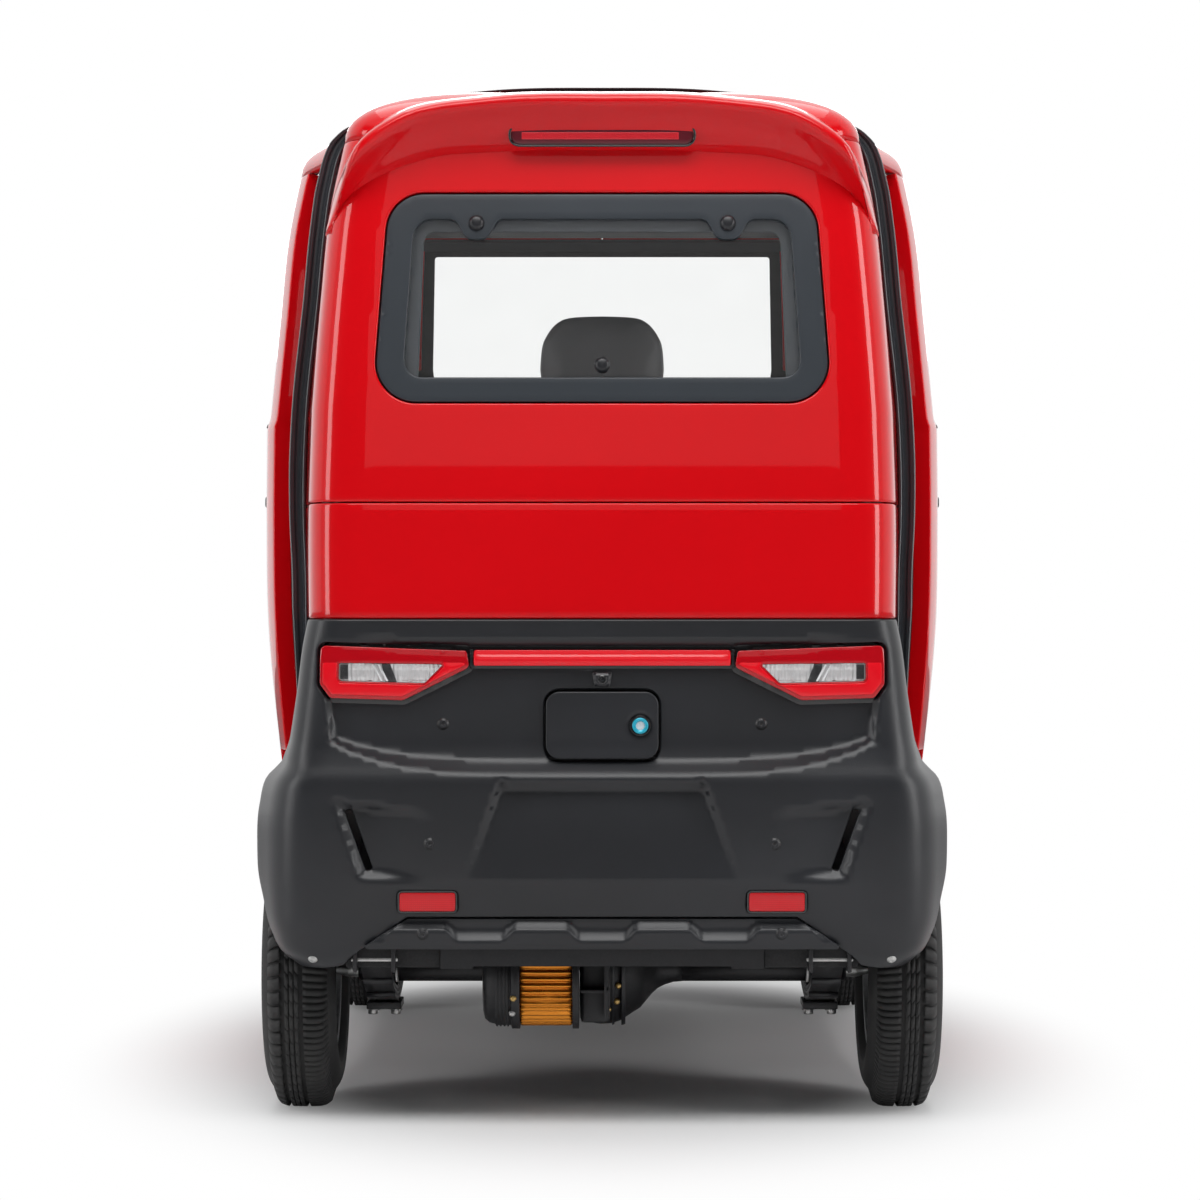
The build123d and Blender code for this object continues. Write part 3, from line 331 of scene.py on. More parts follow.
def dressed(made, body, finish, stands_for=()):
    """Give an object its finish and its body."""
    made.data.materials.clear()
    made.data.materials.append(finish)
    made.data.polygons.foreach_set("use_smooth", [True] * len(made.data.polygons))
    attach(made, body)
    if stands_for:
        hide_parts(*stands_for)
    MADE[made.name] = sum(len(p.vertices) - 2 for p in made.data.polygons)
    print(f"{made.name}: {MADE[made.name]} triangles")
    return made


def on_skin(skin, spots, depth=0.0):
    """Points of a skin at spots, sunk by depth, and the skin's outward directions there."""
    h = 5e-4
    u, v = spots[:, 0], spots[:, 1]
    along_u = skin(u + h, v) - skin(u - h, v)
    along_v = skin(u, v + h) - skin(u, v - h)
    out = np.cross(along_u, along_v)
    out /= np.linalg.norm(out, axis=1)[:, None]
    return skin(u, v) - out * np.broadcast_to(np.asarray(depth, float), u.shape)[:, None], out


def fill(edges, holes, lines, spacing):
    """Triangles over the region inside edges and outside holes, with lines as creases, as spots and faces."""
    loops = list(edges) + list(holes)
    low, high = np.min([l.min(0) for l in edges], 0), np.max([l.max(0) for l in edges], 0)
    counts = np.maximum(((high - low) / spacing).astype(int), 1)
    xs = np.linspace(low[0], high[0], counts[0] + 1)
    ys = np.linspace(low[1], high[1], counts[1] + 1)
    grid = np.stack(np.meshgrid(xs, ys), -1).reshape(-1, 2)
    kept = np.any([inside(l, grid) for l in edges], 0)
    for l in holes:
        kept &= ~inside(l, grid)
    grid = grid[kept]
    for l, closed in [(l, True) for l in loops] + list(lines):
        near = ((grid > l.min(0) - spacing) & (grid < l.max(0) + spacing)).all(1)
        index = np.where(near)[0]
        if len(index):
            too_close = distance_to(l, grid[index], closed) < 0.45 * spacing
            grid = np.delete(grid, index[too_close], 0)
    spots, rims = list(grid), []
    for l, closed in [(l, True) for l in loops] + list(lines):
        first = len(spots)
        spots += list(l)
        rims += [(first + k, first + k + 1) for k in range(len(l) - 1)]
        if closed:
            rims.append((first + len(l) - 1, first))
    points, _, faces, *_ = delaunay_2d_cdt([Vector(s) for s in spots], rims, [], 0, 1e-7)
    points = np.array([tuple(p) for p in points])
    faces = np.array([f for f in faces if len(f) == 3])
    middles = points[faces].mean(1)
    kept = np.any([inside(l, middles) for l in edges], 0)
    for l in holes:
        kept &= ~inside(l, middles)
    return points, faces[kept]


def panel(name, skin, edge, body, slot, finish, holes=(), lines=(), relief=None, spacing=0.01, roll=0.002,
          thick=0.02, stands_for=()):
    """A closed shell on a skin: a filled front, rolled edges and a back.

    relief gives how far each spot is sunk below the skin, and lines are paths it creases along.
    """
    edges = edge if isinstance(edge, list) else [edge]
    turns = [(l, shrunk(l, roll)) for l in edges]
    gaps = [(l, shrunk(l, -roll)) for l in holes]
    spots, faces = fill([inner for _, inner in turns], [inner for _, inner in gaps], lines, spacing)
    relief = relief or (lambda s: np.zeros(len(s)))
    sunk = relief(spots)
    front, _ = on_skin(skin, spots, sunk)
    back, _ = on_skin(skin, spots, sunk + thick)
    count = len(spots)
    points = [front, back]
    made = [tuple(f) for f in faces] + [tuple(f[::-1] + count) for f in faces]
    total = 2 * count
    steps = [0.0, 0.3, 0.6, 0.85, 1.0]
    for (rim, inner), outward in [(t, True) for t in turns] + [(g, False) for g in gaps]:
        size = len(rim)
        rings = [match(spots, inner)]
        depth = relief(inner)
        forth, back_again = [(s, 0.0, roll) for s in steps[1:]], [(s, thick, -roll) for s in steps[:0:-1]]
        for s, start, fall in forth + back_again:
            angle = s * pi / 2
            ring = inner + (rim - inner) * sin(angle)
            points.append(on_skin(skin, ring, depth + start + fall * (1 - cos(angle)))[0])
            rings.append(np.arange(total, total + size))
            total += size
        rings.append(rings[0] + count)
        for low, high in zip(rings, rings[1:]):
            for k in range(size):
                j = (k + 1) % size
                quad = (low[j], low[k], high[k], high[j])
                made.append(quad if outward else quad[::-1])
    return piece(name, np.concatenate(points), made, body, slot, finish, stands_for)


def match(spots, ring):
    """The index of the spot at each point of a ring."""
    order = {(round(x, 6), round(y, 6)): k for k, (x, y) in enumerate(spots)}
    places = []
    for x, y in ring:
        key = round(x, 6), round(y, 6)
        places.append(order[key] if key in order else int(np.argmin(((spots - (x, y)) ** 2).sum(1))))
    return np.array(places)

# %% [markdown]
# The cabin's walls share one hull: rows of half widths and ends at a few heights, eased between. Below the
# belt line the doors stand a little proud, and a soft shoulder leads from the lower rows into the upper ones.

# %% The cabin's hull
BELT_Z = 1.118
RAIL_Y = -0.852
DOOR_REAR_Y = -0.500
DOOR_FRONT_Y = 0.400
POST_Y = 0.466
# height, rear corner (x, y), x at the rail, x at the door, y of the front pillar, nose corner (x, y)
LOWER_HULL = [
    (0.290, 0.430, -1.090, 0.455, 0.500, 0.480, 0.410, 1.080),
    (0.430, 0.440, -1.100, 0.463, 0.528, 0.480, 0.416, 1.092),
    (0.560, 0.446, -1.108, 0.469, 0.546, 0.480, 0.418, 1.090),
    (0.780, 0.450, -1.112, 0.471, 0.569, 0.480, 0.416, 0.992),
    (0.950, 0.450, -1.112, 0.474, 0.572, 0.480, 0.408, 0.852),
    (BELT_Z, 0.445, -1.106, 0.470, 0.571, 0.480, 0.398, 0.715),
]
UPPER_HULL = [
    (BELT_Z, 0.445, -1.106, 0.470, 0.566, 0.480, 0.398, 0.715),
    (1.290, 0.434, -1.092, 0.452, 0.549, 0.410, 0.386, 0.590),
    (1.440, 0.418, -1.076, 0.437, 0.533, 0.320, 0.370, 0.478),
    (1.540, 0.398, -1.062, 0.414, 0.513, 0.255, 0.352, 0.400),
]
HULL_RADII = [0.075, 0.500, 0.400, 0.170, 0.090]
SHOULDER = 0.007


def hull_rows(z):
    """The hull's columns at heights z, with the shoulder at the belt line."""
    share = smooth(z, BELT_Z - SHOULDER, BELT_Z + SHOULDER)
    return eased_rows(LOWER_HULL, np.minimum(z, BELT_Z)) * (1 - share) + eased_rows(UPPER_HULL, z) * share


def hull_corners(z):
    rear_w, rear_y, rail_w, door_w, pillar_y, nose_w, nose_y = hull_rows(z)
    flat, zero = np.ones_like(z), np.zeros_like(z)
    corners = [(zero, rear_y), (rear_w, rear_y), (rail_w, RAIL_Y * flat),
               (door_w, (DOOR_REAR_Y - 0.02) * flat), (door_w, pillar_y), (nose_w, nose_y), (zero, nose_y)]
    return [np.stack(c) for c in corners]


def rear_skin(t, z):
    """Round the back of the cabin: t runs from the left side to the right, 0 in the middle."""
    spots, _ = along(hull_corners(z), HULL_RADII, np.abs(t))
    return np.stack([np.sign(t) * spots[0], spots[1], z], 1)


def side_skin(t, z):
    """The right side and round the front: t is y along the doors, and runs on to the middle of the nose."""
    corners = hull_corners(z)
    starts = sum(np.linalg.norm(corners[i + 1] - corners[i], axis=0) for i in range(3))
    spots, _ = along(corners, HULL_RADII, starts + t - (DOOR_REAR_Y - 0.02))
    return np.stack([spots[0], spots[1], z], 1)


def left_side_skin(t, z):
    """The left side, with t running backwards so that faces still point out."""
    return side_skin(-t, z) * [-1, 1, 1]


def nose_skin(t, z):
    """Round the front of the cabin: t runs from the right side to the left, 0 in the middle."""
    corners = hull_corners(z)[::-1]
    spots, _ = along(corners, HULL_RADII[::-1], np.abs(t))
    return np.stack([-np.sign(t) * spots[0], spots[1], z], 1)


def found(skin, axis, value, z, low, high):
    """The t at which a skin reaches a value of x or y, at heights z, by halving."""
    low, high = np.full(len(z), low), np.full(len(z), high)
    rising = skin(high, z)[:, axis] > skin(low, z)[:, axis]
    for _ in range(28):
        middle = (low + high) / 2
        above = (skin(middle, z)[:, axis] > value) == rising
        high = np.where(above, middle, high)
        low = np.where(above, low, middle)
    return (low + high) / 2


def cast(skin, axis, loop, low, high):
    """A loop drawn flat, in x or y and z, cast onto a skin between two ends of its t."""
    return np.stack([found(skin, axis, loop[:, 0], loop[:, 1], low, high), loop[:, 1]], 1)


# %% [markdown]
# The charcoal mouldings at both ends have skins of their own. The rear one has two stacks of rows: the
# fenders, which swell round the wheels, and the tail band above, which carries the lamps. A soft fillet joins
# the two.

# %% The mouldings' skins
FENDER_ROWS = [
    (0.250, 0.455, -1.082, 0.482, 0.500),
    (0.272, 0.484, -1.102, 0.508, 0.520),
    (0.305, 0.496, -1.114, 0.528, 0.534),
    (0.360, 0.500, -1.122, 0.540, 0.541),
    (0.430, 0.500, -1.128, 0.545, 0.543),
    (0.500, 0.498, -1.130, 0.541, 0.541),
    (0.545, 0.490, -1.129, 0.527, 0.540),
    (0.566, 0.480, -1.126, 0.508, 0.540),
]
TAIL_ROWS = [
    (0.566, 0.482, -1.114, 0.498, 0.505),
    (0.621, 0.474, -1.114, 0.489, 0.501),
    (0.682, 0.467, -1.116, 0.480, 0.497),
    (0.751, 0.459, -1.118, 0.471, 0.492),
    (0.790, 0.452, -1.119, 0.462, 0.488),
]
FENDER_TOP_Z = 0.566
FENDER_MID_Y = -0.960
FENDER_END_Y = -0.516
TAIL_END_Y = RAIL_Y - 0.014
FENDER_RADII = [0.100, 0.190]


def band_skin(rows, mid_y, end_y, facing):
    """A skin round one end of the car; facing is -1 at the back and 1 at the front."""

    def skin(t, z):
        corner_w, corner_y, side_w, end_w = eased_rows(rows, z)
        flat, zero = np.ones_like(z), np.zeros_like(z)
        corners = [(zero, corner_y), (corner_w, corner_y), (side_w, mid_y * flat), (end_w, end_y * flat)]
        spots, _ = along([np.stack(c) for c in corners], FENDER_RADII, np.abs(t))
        return np.stack([-facing * np.sign(t) * spots[0], spots[1], z], 1)

    return skin


fender_skin = band_skin(FENDER_ROWS, FENDER_MID_Y, FENDER_END_Y, -1)
belt_spot = side_skin(np.array([0.0]), np.array([1.1]))[0]
print("half width of the hull at the belt", round(float(belt_spot[0]), 3))

# %% [markdown]
# The red is a solid paint under a hard clear coat. The coat does the shining, so the colour underneath keeps
# a middling roughness. A faint orange peel in the coat breaks up reflections as it does on a moulded panel.

# %% Red paint
RED = (0.66, 0.0020, 0.0060)
DEEP_RED = (0.58, 0.0012, 0.0040)


def painted(place):
    cloud = speckle(place, 3.0)
    peel = speckle(place, 420.0, detail=1.0)
    return {"Base_Color": cloud.blend(RED, DEEP_RED), "Roughness": cloud * 0.06 + 0.26,
            "Normal": bumped(peel, 0.025, 0.0004)}


red_paint = material("red_paint", painted, Coat_Weight=0.8, Coat_Roughness=0.02, Coat_IOR=1.45,
                     Specular_IOR_Level=0.06)

# %% [markdown]
# The mouldings are black polymer with a fine leather-like grain from the mould. Grain is a bump of two
# noises; the raised parts are rubbed a little smoother than the hollows.

# %% Moulded plastics
def grained(base, worn, rough, grain=900.0, strength=0.25):
    """A recipe for grained polymer: base colour, lighter worn colour and mean roughness."""

    def recipe(place):
        pebble = speckle(place, grain, detail=3.0)
        cloud = speckle(place, 5.0, detail=3.0)
        return {"Base_Color": (pebble * 0.35 + cloud * 0.65).step(0.35, 0.75).blend(base, worn),
                "Roughness": pebble * -0.16 + (rough + 0.08),
                "Normal": bumped(pebble, strength, 0.0005)}

    return recipe


charcoal = material("charcoal_moulding", grained((0.0105, 0.0112, 0.0135), (0.0145, 0.0158, 0.0195), 0.38),
                    Specular_IOR_Level=0.5)
charcoal_smooth = material("charcoal_smooth", grained((0.012, 0.0125, 0.015), (0.016, 0.0165, 0.020), 0.36,
                                                      1400.0, 0.1))
slate = material("slate_frame", grained((0.024, 0.030, 0.037), (0.030, 0.037, 0.046), 0.40, 1200.0, 0.12))
cabin_plastic = material("cabin_plastic", grained((0.045, 0.048, 0.053), (0.060, 0.064, 0.070), 0.55))
black_plastic = material("black_plastic", grained((0.008, 0.008, 0.009), (0.014, 0.014, 0.016), 0.38,
                                                  1500.0, 0.1))
rail_black = material("rail_black", grained((0.026, 0.029, 0.033), (0.036, 0.040, 0.046), 0.22, 1500.0, 0.02),
                      Coat_Weight=0.5, Coat_Roughness=0.12)
gloss_black = material("gloss_black", grained((0.006, 0.006, 0.007), (0.010, 0.010, 0.011), 0.16,
                                              1500.0, 0.02), Coat_Weight=0.6, Coat_Roughness=0.06)
liner_black = material("liner_black", grained((0.010, 0.010, 0.011), (0.018, 0.018, 0.019), 0.75, 300.0, 0.5))

# %% [markdown]
# Rubber is nearly black, dull, and slightly browner and greyer where it has weathered. The same recipe serves
# the seals and the tyres, with coarser mottling on the tyres.

# %% Rubber
def rubber(scale, rough):
    def recipe(place):
        mottle = speckle(place, scale, detail=5.0)
        pores = speckle(place, 1400.0)
        return {"Base_Color": mottle.step(0.35, 0.7).blend((0.012, 0.012, 0.0125), (0.024, 0.0235, 0.023)),
                "Roughness": mottle * 0.15 + rough, "Normal": bumped(pores, 0.15, 0.0004)}

    return recipe


seal_rubber = material("rail_rubber", rubber(40.0, 0.42))
tyre_rubber = material("tyre_rubber", rubber(25.0, 0.62))

# %% [markdown]
# Glass and lens plastics let light through, so they are the Principled shader with transmission. A lens that
# is moulded through in red takes its colour from the base colour, and the prisms of a red reflector are a
# bump in its material.

# %% Glass and lenses
def hazed(colour, rough=0.0, amount=0.02):
    def recipe(place):
        haze = speckle(place, 14.0, detail=4.0)
        return {"Base_Color": haze.blend(colour, tuple(c * 0.97 for c in colour)),
                "Roughness": haze.step(0.45, 0.8) * amount + rough}

    return recipe


clear_glass = material("clear_glass", hazed((0.99, 0.995, 0.992)), Transmission_Weight=1.0, IOR=1.33)
tinted_glass = material("tinted_glass", hazed((0.30, 0.33, 0.35)), Transmission_Weight=1.0, IOR=1.33)
clear_lens = material("clear_lens", hazed((0.97, 0.97, 0.97), 0.02), Transmission_Weight=1.0, IOR=1.3)
red_lens = material("red_lens", hazed((0.50, 0.003, 0.009), 0.04), Transmission_Weight=0.15, IOR=1.45,
                    Coat_Weight=0.9, Coat_Roughness=0.02, Specular_IOR_Level=0.1)
red_glow = material("red_glow", hazed((0.70, 0.006, 0.014), 0.18), Coat_Weight=0.7, Coat_Roughness=0.03,
                    Specular_IOR_Level=0.1, Emission_Color=(0.9, 0.01, 0.02), Emission_Strength=0.04)


def prismatic(place):
    """Red reflector: tiny cube corners as a fine bump, with their facets painted lighter and darker as
    painted light and shade.
    """
    cells = place.node("TexVoronoi", {"distance": "CHEBYCHEV"}, Vector=place, Scale=330.0, Randomness=0.0)
    # painted light and shade: the facet grid is a lighter and a darker red in the base colour
    return {"Base_Color": cells.step(0.1, 0.6).blend((0.62, 0.006, 0.012), (0.46, 0.003, 0.007)),
            "Roughness": cells * 0.1 + 0.15, "Normal": bumped(cells, 0.2, 0.0008)}


reflector_red = material("reflector_red", prismatic, Coat_Weight=0.7, Coat_Roughness=0.03,
                         Specular_IOR_Level=0.1)

# %% [markdown]
# Metals differ by what was done to them: plated, cast, anodised, turned or painted. Cast and painted parts
# have a coarse skin; turned and anodised ones carry fine streaks along or round the part.

# %% Metals
def metal(colour, rough, scale=60.0, stretch=(1.0, 1.0, 1.0), strength=0.08):
    def recipe(place):
        turned = place.node("Mapping", {"vector_type": "POINT"}, Vector=place, Scale=stretch)
        streak = speckle(turned, scale, detail=5.0, roughness=0.7)
        return {"Base_Color": streak.step(0.3, 0.75).blend(colour, tuple(c * 0.78 for c in colour)),
                "Roughness": streak * 0.16 + rough, "Normal": bumped(streak, strength, 0.0006)}

    return recipe


chrome = material("chrome", metal((0.86, 0.87, 0.88), 0.02, 30.0, strength=0.02), Metallic=1.0)
steel = material("bright_steel", metal((0.55, 0.55, 0.54), 0.28, 90.0), Metallic=1.0)
brass = material("brass", metal((0.62, 0.42, 0.16), 0.25, 200.0), Metallic=1.0)
cast_black = material("black_steel", metal((0.020, 0.020, 0.022), 0.36, 260.0, strength=0.25), Metallic=0.2)
anodised = material("orange_stator", metal((0.85, 0.30, 0.035), 0.20, 220.0, (0.06, 1.0, 1.0)), Metallic=0.9)
alloy = material("wheel_alloy", metal((0.42, 0.43, 0.44), 0.32, 120.0), Metallic=0.85)
# The lock ring's faint cyan emission is a painted glow; the ring is no lamp.
cyan_ring_painted_glow = material("cyan_ring_painted_glow", metal((0.010, 0.36, 0.50), 0.18, 80.0, strength=0.02), Metallic=0.35,
                     Coat_Weight=0.8, Emission_Color=(0.0, 0.45, 0.62), Emission_Strength=0.12)
pale_key = material("pale_key", metal((0.72, 0.82, 0.86), 0.2, 80.0, strength=0.02), Metallic=0.3)

# %% [markdown]
# The seat is covered in black synthetic leather. Its grain is a cell pattern: creases where cells meet, domes
# between, and a soft mottling in the colour.

# %% Seat cover
def leather(place):
    cells = place.node("TexVoronoi", {"feature": "DISTANCE_TO_EDGE"}, Vector=place, Scale=420.0)
    mottle = speckle(place, 9.0, detail=3.0)
    return {"Base_Color": mottle.step(0.3, 0.7).blend((0.026, 0.027, 0.030), (0.042, 0.043, 0.047)),
            "Roughness": mottle * 0.12 + 0.42, "Normal": bumped(cells.step(0.0, 0.12), 0.3, 0.0006)}


seat_leather = material("seat_leather", leather)
print(len(bpy.data.materials), "finishes")

# %% [markdown]
# The back of the cabin is two red panels that meet at a shut line. The upper one holds the rear window, so it
# is cut to the window's outline and its rolled rim shows as a thin dark line round the frame.

# %% Rear panels
SKIN = 0.022
SEAM_Z = 0.970
PANEL_BOTTOM_Z = 0.791
ROOF_Z = 1.535
RAIL_HALF = 0.013
REAR_WINDOW = outline([(-0.352, 1.125), (0.352, 1.125), (0.328, 1.448), (-0.328, 1.448)],
                      [0.061, 0.061, 0.058, 0.058])
REAR_OPENING = outline([(-0.307, 1.163), (0.307, 1.163), (0.290, 1.409), (-0.290, 1.409)],
                       [0.028, 0.028, 0.042, 0.042])


def rear_edge(low, high, step=0.006):
    """The outline of a panel round the back, from rail to rail, between two heights."""
    z = np.linspace(low, high, int((high - low) / step))
    t = found(rear_skin, 1, RAIL_Y - RAIL_HALF - 0.001, z, 0.4, 0.9)
    across = np.linspace(-1, 1, int(2 * t.max() / step))[1:-1]
    right, left = np.stack([t, z], 1), np.stack([-t, z], 1)
    bottom = np.stack([across * t[0], np.full(len(across), z[0])], 1)
    top = np.stack([-across * t[-1], np.full(len(across), z[-1])], 1)
    return np.concatenate([bottom, right, top, left[::-1]])


panel("rear_lower_skin", rear_skin, rear_edge(PANEL_BOTTOM_Z, SEAM_Z - 0.001), "body", "red_paint", red_paint,
      thick=SKIN, roll=0.003, stands_for=("rear_panel_lower",))
panel("rear_upper_skin", rear_skin, rear_edge(SEAM_Z + 0.001, ROOF_Z), "body", "red_paint", red_paint,
      holes=[shrunk(REAR_WINDOW, -0.0025)], thick=SKIN, roll=0.003, stands_for=("rear_panel_upper",))

# %% [markdown]
# The charcoal tail is one large moulding: a band with the lamps, the bumper and both rear fenders. Its forms
# are pressed into it as relief, in metres below the skin: a shelf above the bumper, a tilted seat for the
# plate, and a slanted vent with a fading hollow beside each wheel. Paths along the edges keep each form
# crisp.

# %% The skin of the whole moulding
JOIN_LOW, JOIN_HIGH = 0.540, 0.606


def moulding_skin(t, z):
    share = smooth(z, JOIN_LOW, JOIN_HIGH)[:, None]
    low = fender_skin(t, np.minimum(z, FENDER_TOP_Z))
    high = long_tail_skin(t, np.maximum(z, FENDER_TOP_Z))
    blended = low * (1 - share) + high * share
    blended[:, 2] = z
    return blended


# the tail's rows carried on past its end, as far forward as the fenders reach
LONG_TAIL_ROWS = [(z, rw, ry, sw, sw + (ew - sw) * 1.6) for z, rw, ry, sw, ew in TAIL_ROWS]
long_tail_skin = band_skin(LONG_TAIL_ROWS, FENDER_MID_Y, FENDER_END_Y, -1)

# %% Relief of the moulding
SHELF_DEPTH, PLATE_SINK, VENT_SINK = 0.018, 0.022, 0.017
SHELF_TOP_Z = 0.7565
PLATE_TOP_Z, PLATE_FOOT_Z = 0.541, 0.391
PLATE_TOP_X, PLATE_FOOT_X = 0.159, 0.212
VENT_OUT = np.array([(0.413, 0.5117), (0.376, 0.394)])
VENT_IN_X = 0.250


def shelf_foot(x):
    return 0.5515 + 0.051 * (np.abs(x) / 0.419) ** 4.5


def shelf_head(x):
    return 0.5775 + 0.0352 * (np.abs(x) / 0.416) ** 4


def shelf_side(z):
    return 0.4186 + 0.020 * smooth(z, 0.600, 0.740)


def side_of(line, spots):
    """Distance of spots to the left of the line from its first point to its second."""
    run = line[1] - line[0]
    run = run / np.linalg.norm(run)
    return (spots[:, 1] - line[0, 1]) * run[0] - (spots[:, 0] - line[0, 0]) * run[1]


def ramp(x, width):
    return np.clip(x / width, 0.0, 1.0)


VENT_TOP = np.array([(0.413, 0.5117), (0.250, 0.4925)])
VENT_FOOT = np.array([(0.376, 0.394), (0.235, 0.3775)])


def plate_half(z):
    return PLATE_FOOT_X + (PLATE_TOP_X - PLATE_FOOT_X) * (z - PLATE_FOOT_Z) / (PLATE_TOP_Z - PLATE_FOOT_Z)


def moulding_relief(spots):
    x, z = np.abs(spots[:, 0]), spots[:, 1]
    half = np.stack([x, z], 1)
    rise = (z - shelf_foot(x)) / (shelf_head(x) - shelf_foot(x))
    shelf = np.minimum.reduce([np.clip(rise, 0, 1), ramp(shelf_side(z) - x, 0.006),
                               ramp(SHELF_TOP_Z - z, 0.004)])
    tilt = ramp(z - PLATE_FOOT_Z, PLATE_TOP_Z - PLATE_FOOT_Z)
    plate = tilt * np.minimum(ramp(plate_half(z) - x, 0.008), ramp(PLATE_TOP_Z - z, 0.006))
    vent = np.minimum.reduce([ramp(-side_of(VENT_OUT, half), 0.016), ramp(side_of(VENT_TOP, half), 0.005),
                              ramp(-side_of(VENT_FOOT, half), 0.012)]) * smooth(x, VENT_IN_X, 0.375)
    chin = np.maximum(PLATE_FOOT_Z - z, 0) * 0.22 * smooth(-x, -0.44, -0.30)
    return SHELF_DEPTH * shelf + PLATE_SINK * plate + VENT_SINK * vent + chin


# %% Outline, openings and creases of the moulding
REAR_AXLE_Y, FRONT_AXLE_Y, AXLE_Z = -0.780, 0.720, 0.2215
ARCH_R = 0.250
CHIN = [(0.0, 0.331), (0.300, 0.331), (0.366, 0.279), (0.388, 0.262), (0.400, 0.251)]


def dense_path(corners, step=0.006):
    corners = np.array(corners, float)
    path = []
    for here, there in zip(corners, corners[1:]):
        steps = max(1, int(np.linalg.norm(there - here) / step))
        path += [here + (there - here) * k / steps for k in range(steps)]
    return np.array(path + [corners[-1]])


def arch_path(axle_y, foot_z, count=60):
    """The wheel arch in (y, z), from its rear foot over the wheel to its front foot."""
    dip = np.arcsin((foot_z - AXLE_Z) / ARCH_R)
    angle = np.linspace(pi - dip, dip, count)
    return np.stack([axle_y + ARCH_R * np.cos(angle), AXLE_Z + ARCH_R * np.sin(angle)], 1)


def cast_y(skin, path):
    return np.stack([found(skin, 1, path[:, 0], path[:, 1], 0.30, 1.15), path[:, 1]], 1)


def moulding_edge():
    chin = dense_path(CHIN)
    arch = arch_path(REAR_AXLE_Y, 0.251)
    foot = cast_y(moulding_skin, arch[:1])[0]
    under = dense_path([CHIN[-1], tuple(foot)])
    flank = cast_y(moulding_skin, dense_path([
        tuple(arch[-1]), (FENDER_END_Y, 0.251), (FENDER_END_Y, JOIN_HIGH - 0.002),
        (TAIL_END_Y, JOIN_HIGH - 0.002), (TAIL_END_Y, PANEL_BOTTOM_Z - 0.001)]))
    top = dense_path([tuple(flank[-1]), (0.0, PANEL_BOTTOM_Z - 0.001)])
    parts = [chin[:-1], under[:-1], cast_y(moulding_skin, arch)[:-1], flank[:-1], top]
    right = np.concatenate(parts)
    return np.concatenate([right[:-1], mirrored_loop(right)[:-1]])


LAMP = outline([(0.207, 0.7435), (0.434, 0.752), (0.4345, 0.690), (0.418, 0.668), (0.305, 0.6645),
                (0.202, 0.716)], [0.006, 0.010, 0.012, 0.010, 0.014, 0.010], 0.004)
BAR_HALF, BAR_LOW, BAR_HIGH = 0.197, 0.719, 0.743
LID = rectangle(-0.0865, 0.0865, 0.578, 0.679, 0.021, 0.004)
VENT_SLOT = outline([(0.385, 0.500), (0.396, 0.498), (0.363, 0.403), (0.352, 0.405)], 0.004, 0.003)
REFLECTOR = rectangle(0.225, 0.311, 0.342, 0.371, 0.004, 0.004)


def cast_x(loop):
    return cast(moulding_skin, 0, loop, -0.56, 0.56)


lamp_gap = cast_x(shrunk(LAMP, -0.004))
bar_gap = rectangle(-0.2005, 0.2005, 0.7165, 0.7455, 0.004, 0.004)
slot = cast_x(VENT_SLOT)
reflector_gap = cast_x(shrunk(REFLECTOR, -0.003))
moulding_holes = [lamp_gap, mirrored_loop(lamp_gap), bar_gap, shrunk(LID, -0.0028), slot, mirrored_loop(slot),
                  reflector_gap, mirrored_loop(reflector_gap)]


def both_ways(path):
    return [(path, False), (path * [-1, 1], False)]


xs = np.linspace(-0.410, 0.410, 120)
heights = np.linspace(0.625, 0.735, 16)
moulding_lines = [(np.stack([xs, shelf_foot(xs)], 1), False), (np.stack([xs, shelf_head(xs)], 1), False)]
for start, end in (((0.145, 0.5415), (0.0, 0.5415)), ((0.164, 0.530), (0.207, 0.408)),
                   ((0.155, 0.528), (0.199, 0.408)), ((0.205, PLATE_FOOT_Z), (0.003, PLATE_FOOT_Z)),
                   ((0.409, 0.500), (0.379, 0.404))):
    moulding_lines += both_ways(dense_path([start, end]))
moulding_lines += both_ways(np.stack([shelf_side(heights), heights], 1))

panel("rear_moulding_skin", moulding_skin, moulding_edge(), "body", "charcoal_moulding", charcoal,
      moulding_holes, moulding_lines, moulding_relief, spacing=0.0075, roll=0.0025, thick=0.012,
      stands_for=("rear_moulding",))

# %% [markdown]
# A tail lamp is a moulded body in its pocket, a red frame-shaped light guide, and a clear window with a
# ribbed reflector behind it, all under one glossy lens. Each layer is a panel on the same skin, at its own
# depth.

# %% Tail lamps
LAMP_WINDOW = outline([(0.243, 0.7215), (0.404, 0.7235), (0.4045, 0.6955), (0.272, 0.6925)],
                      [0.002, 0.003, 0.006, 0.006], 0.003)
RIB_PITCH = 0.0065


def sunk_skin(skin, depth):
    """A skin a little below another one."""
    return lambda t, z: on_skin(skin, np.stack([t, z], 1), depth)[0]


def pair_of(name, skin, loop, holes=(), relief=None, **settings):
    """The same panel on both sides of the car, as two pieces."""
    panel(f"{name}_right", skin, loop, holes=list(holes), relief=relief, **settings)
    panel(f"{name}_left", skin, mirrored_loop(loop), holes=[mirrored_loop(h) for h in holes],
          relief=relief and (lambda s: relief(s * [-1, 1])), **settings)


def layer(name, depth, loop, finish, spacing, roll, thick, holes=(), relief=None, stands_for=()):
    """One layer of the tail lamps, on both sides, at its depth below the moulding's skin."""
    pair_of(f"lamp_{name}", sunk_skin(moulding_skin, depth), loop, holes, relief, body="body",
            slot="red_lens", finish=finish, spacing=spacing, roll=roll, thick=thick, stands_for=stands_for)


lamp_loop, window_loop = cast_x(LAMP), cast_x(LAMP_WINDOW)
BEZEL, GUIDE_OUT = 0.0035, 0.0075


def bezel_relief(spots):
    return 0.003 * (1 - ramp(depth_in(lamp_loop, spots), BEZEL)) + 0.0015 * smooth(spots[:, 1], 0.722, 0.744)


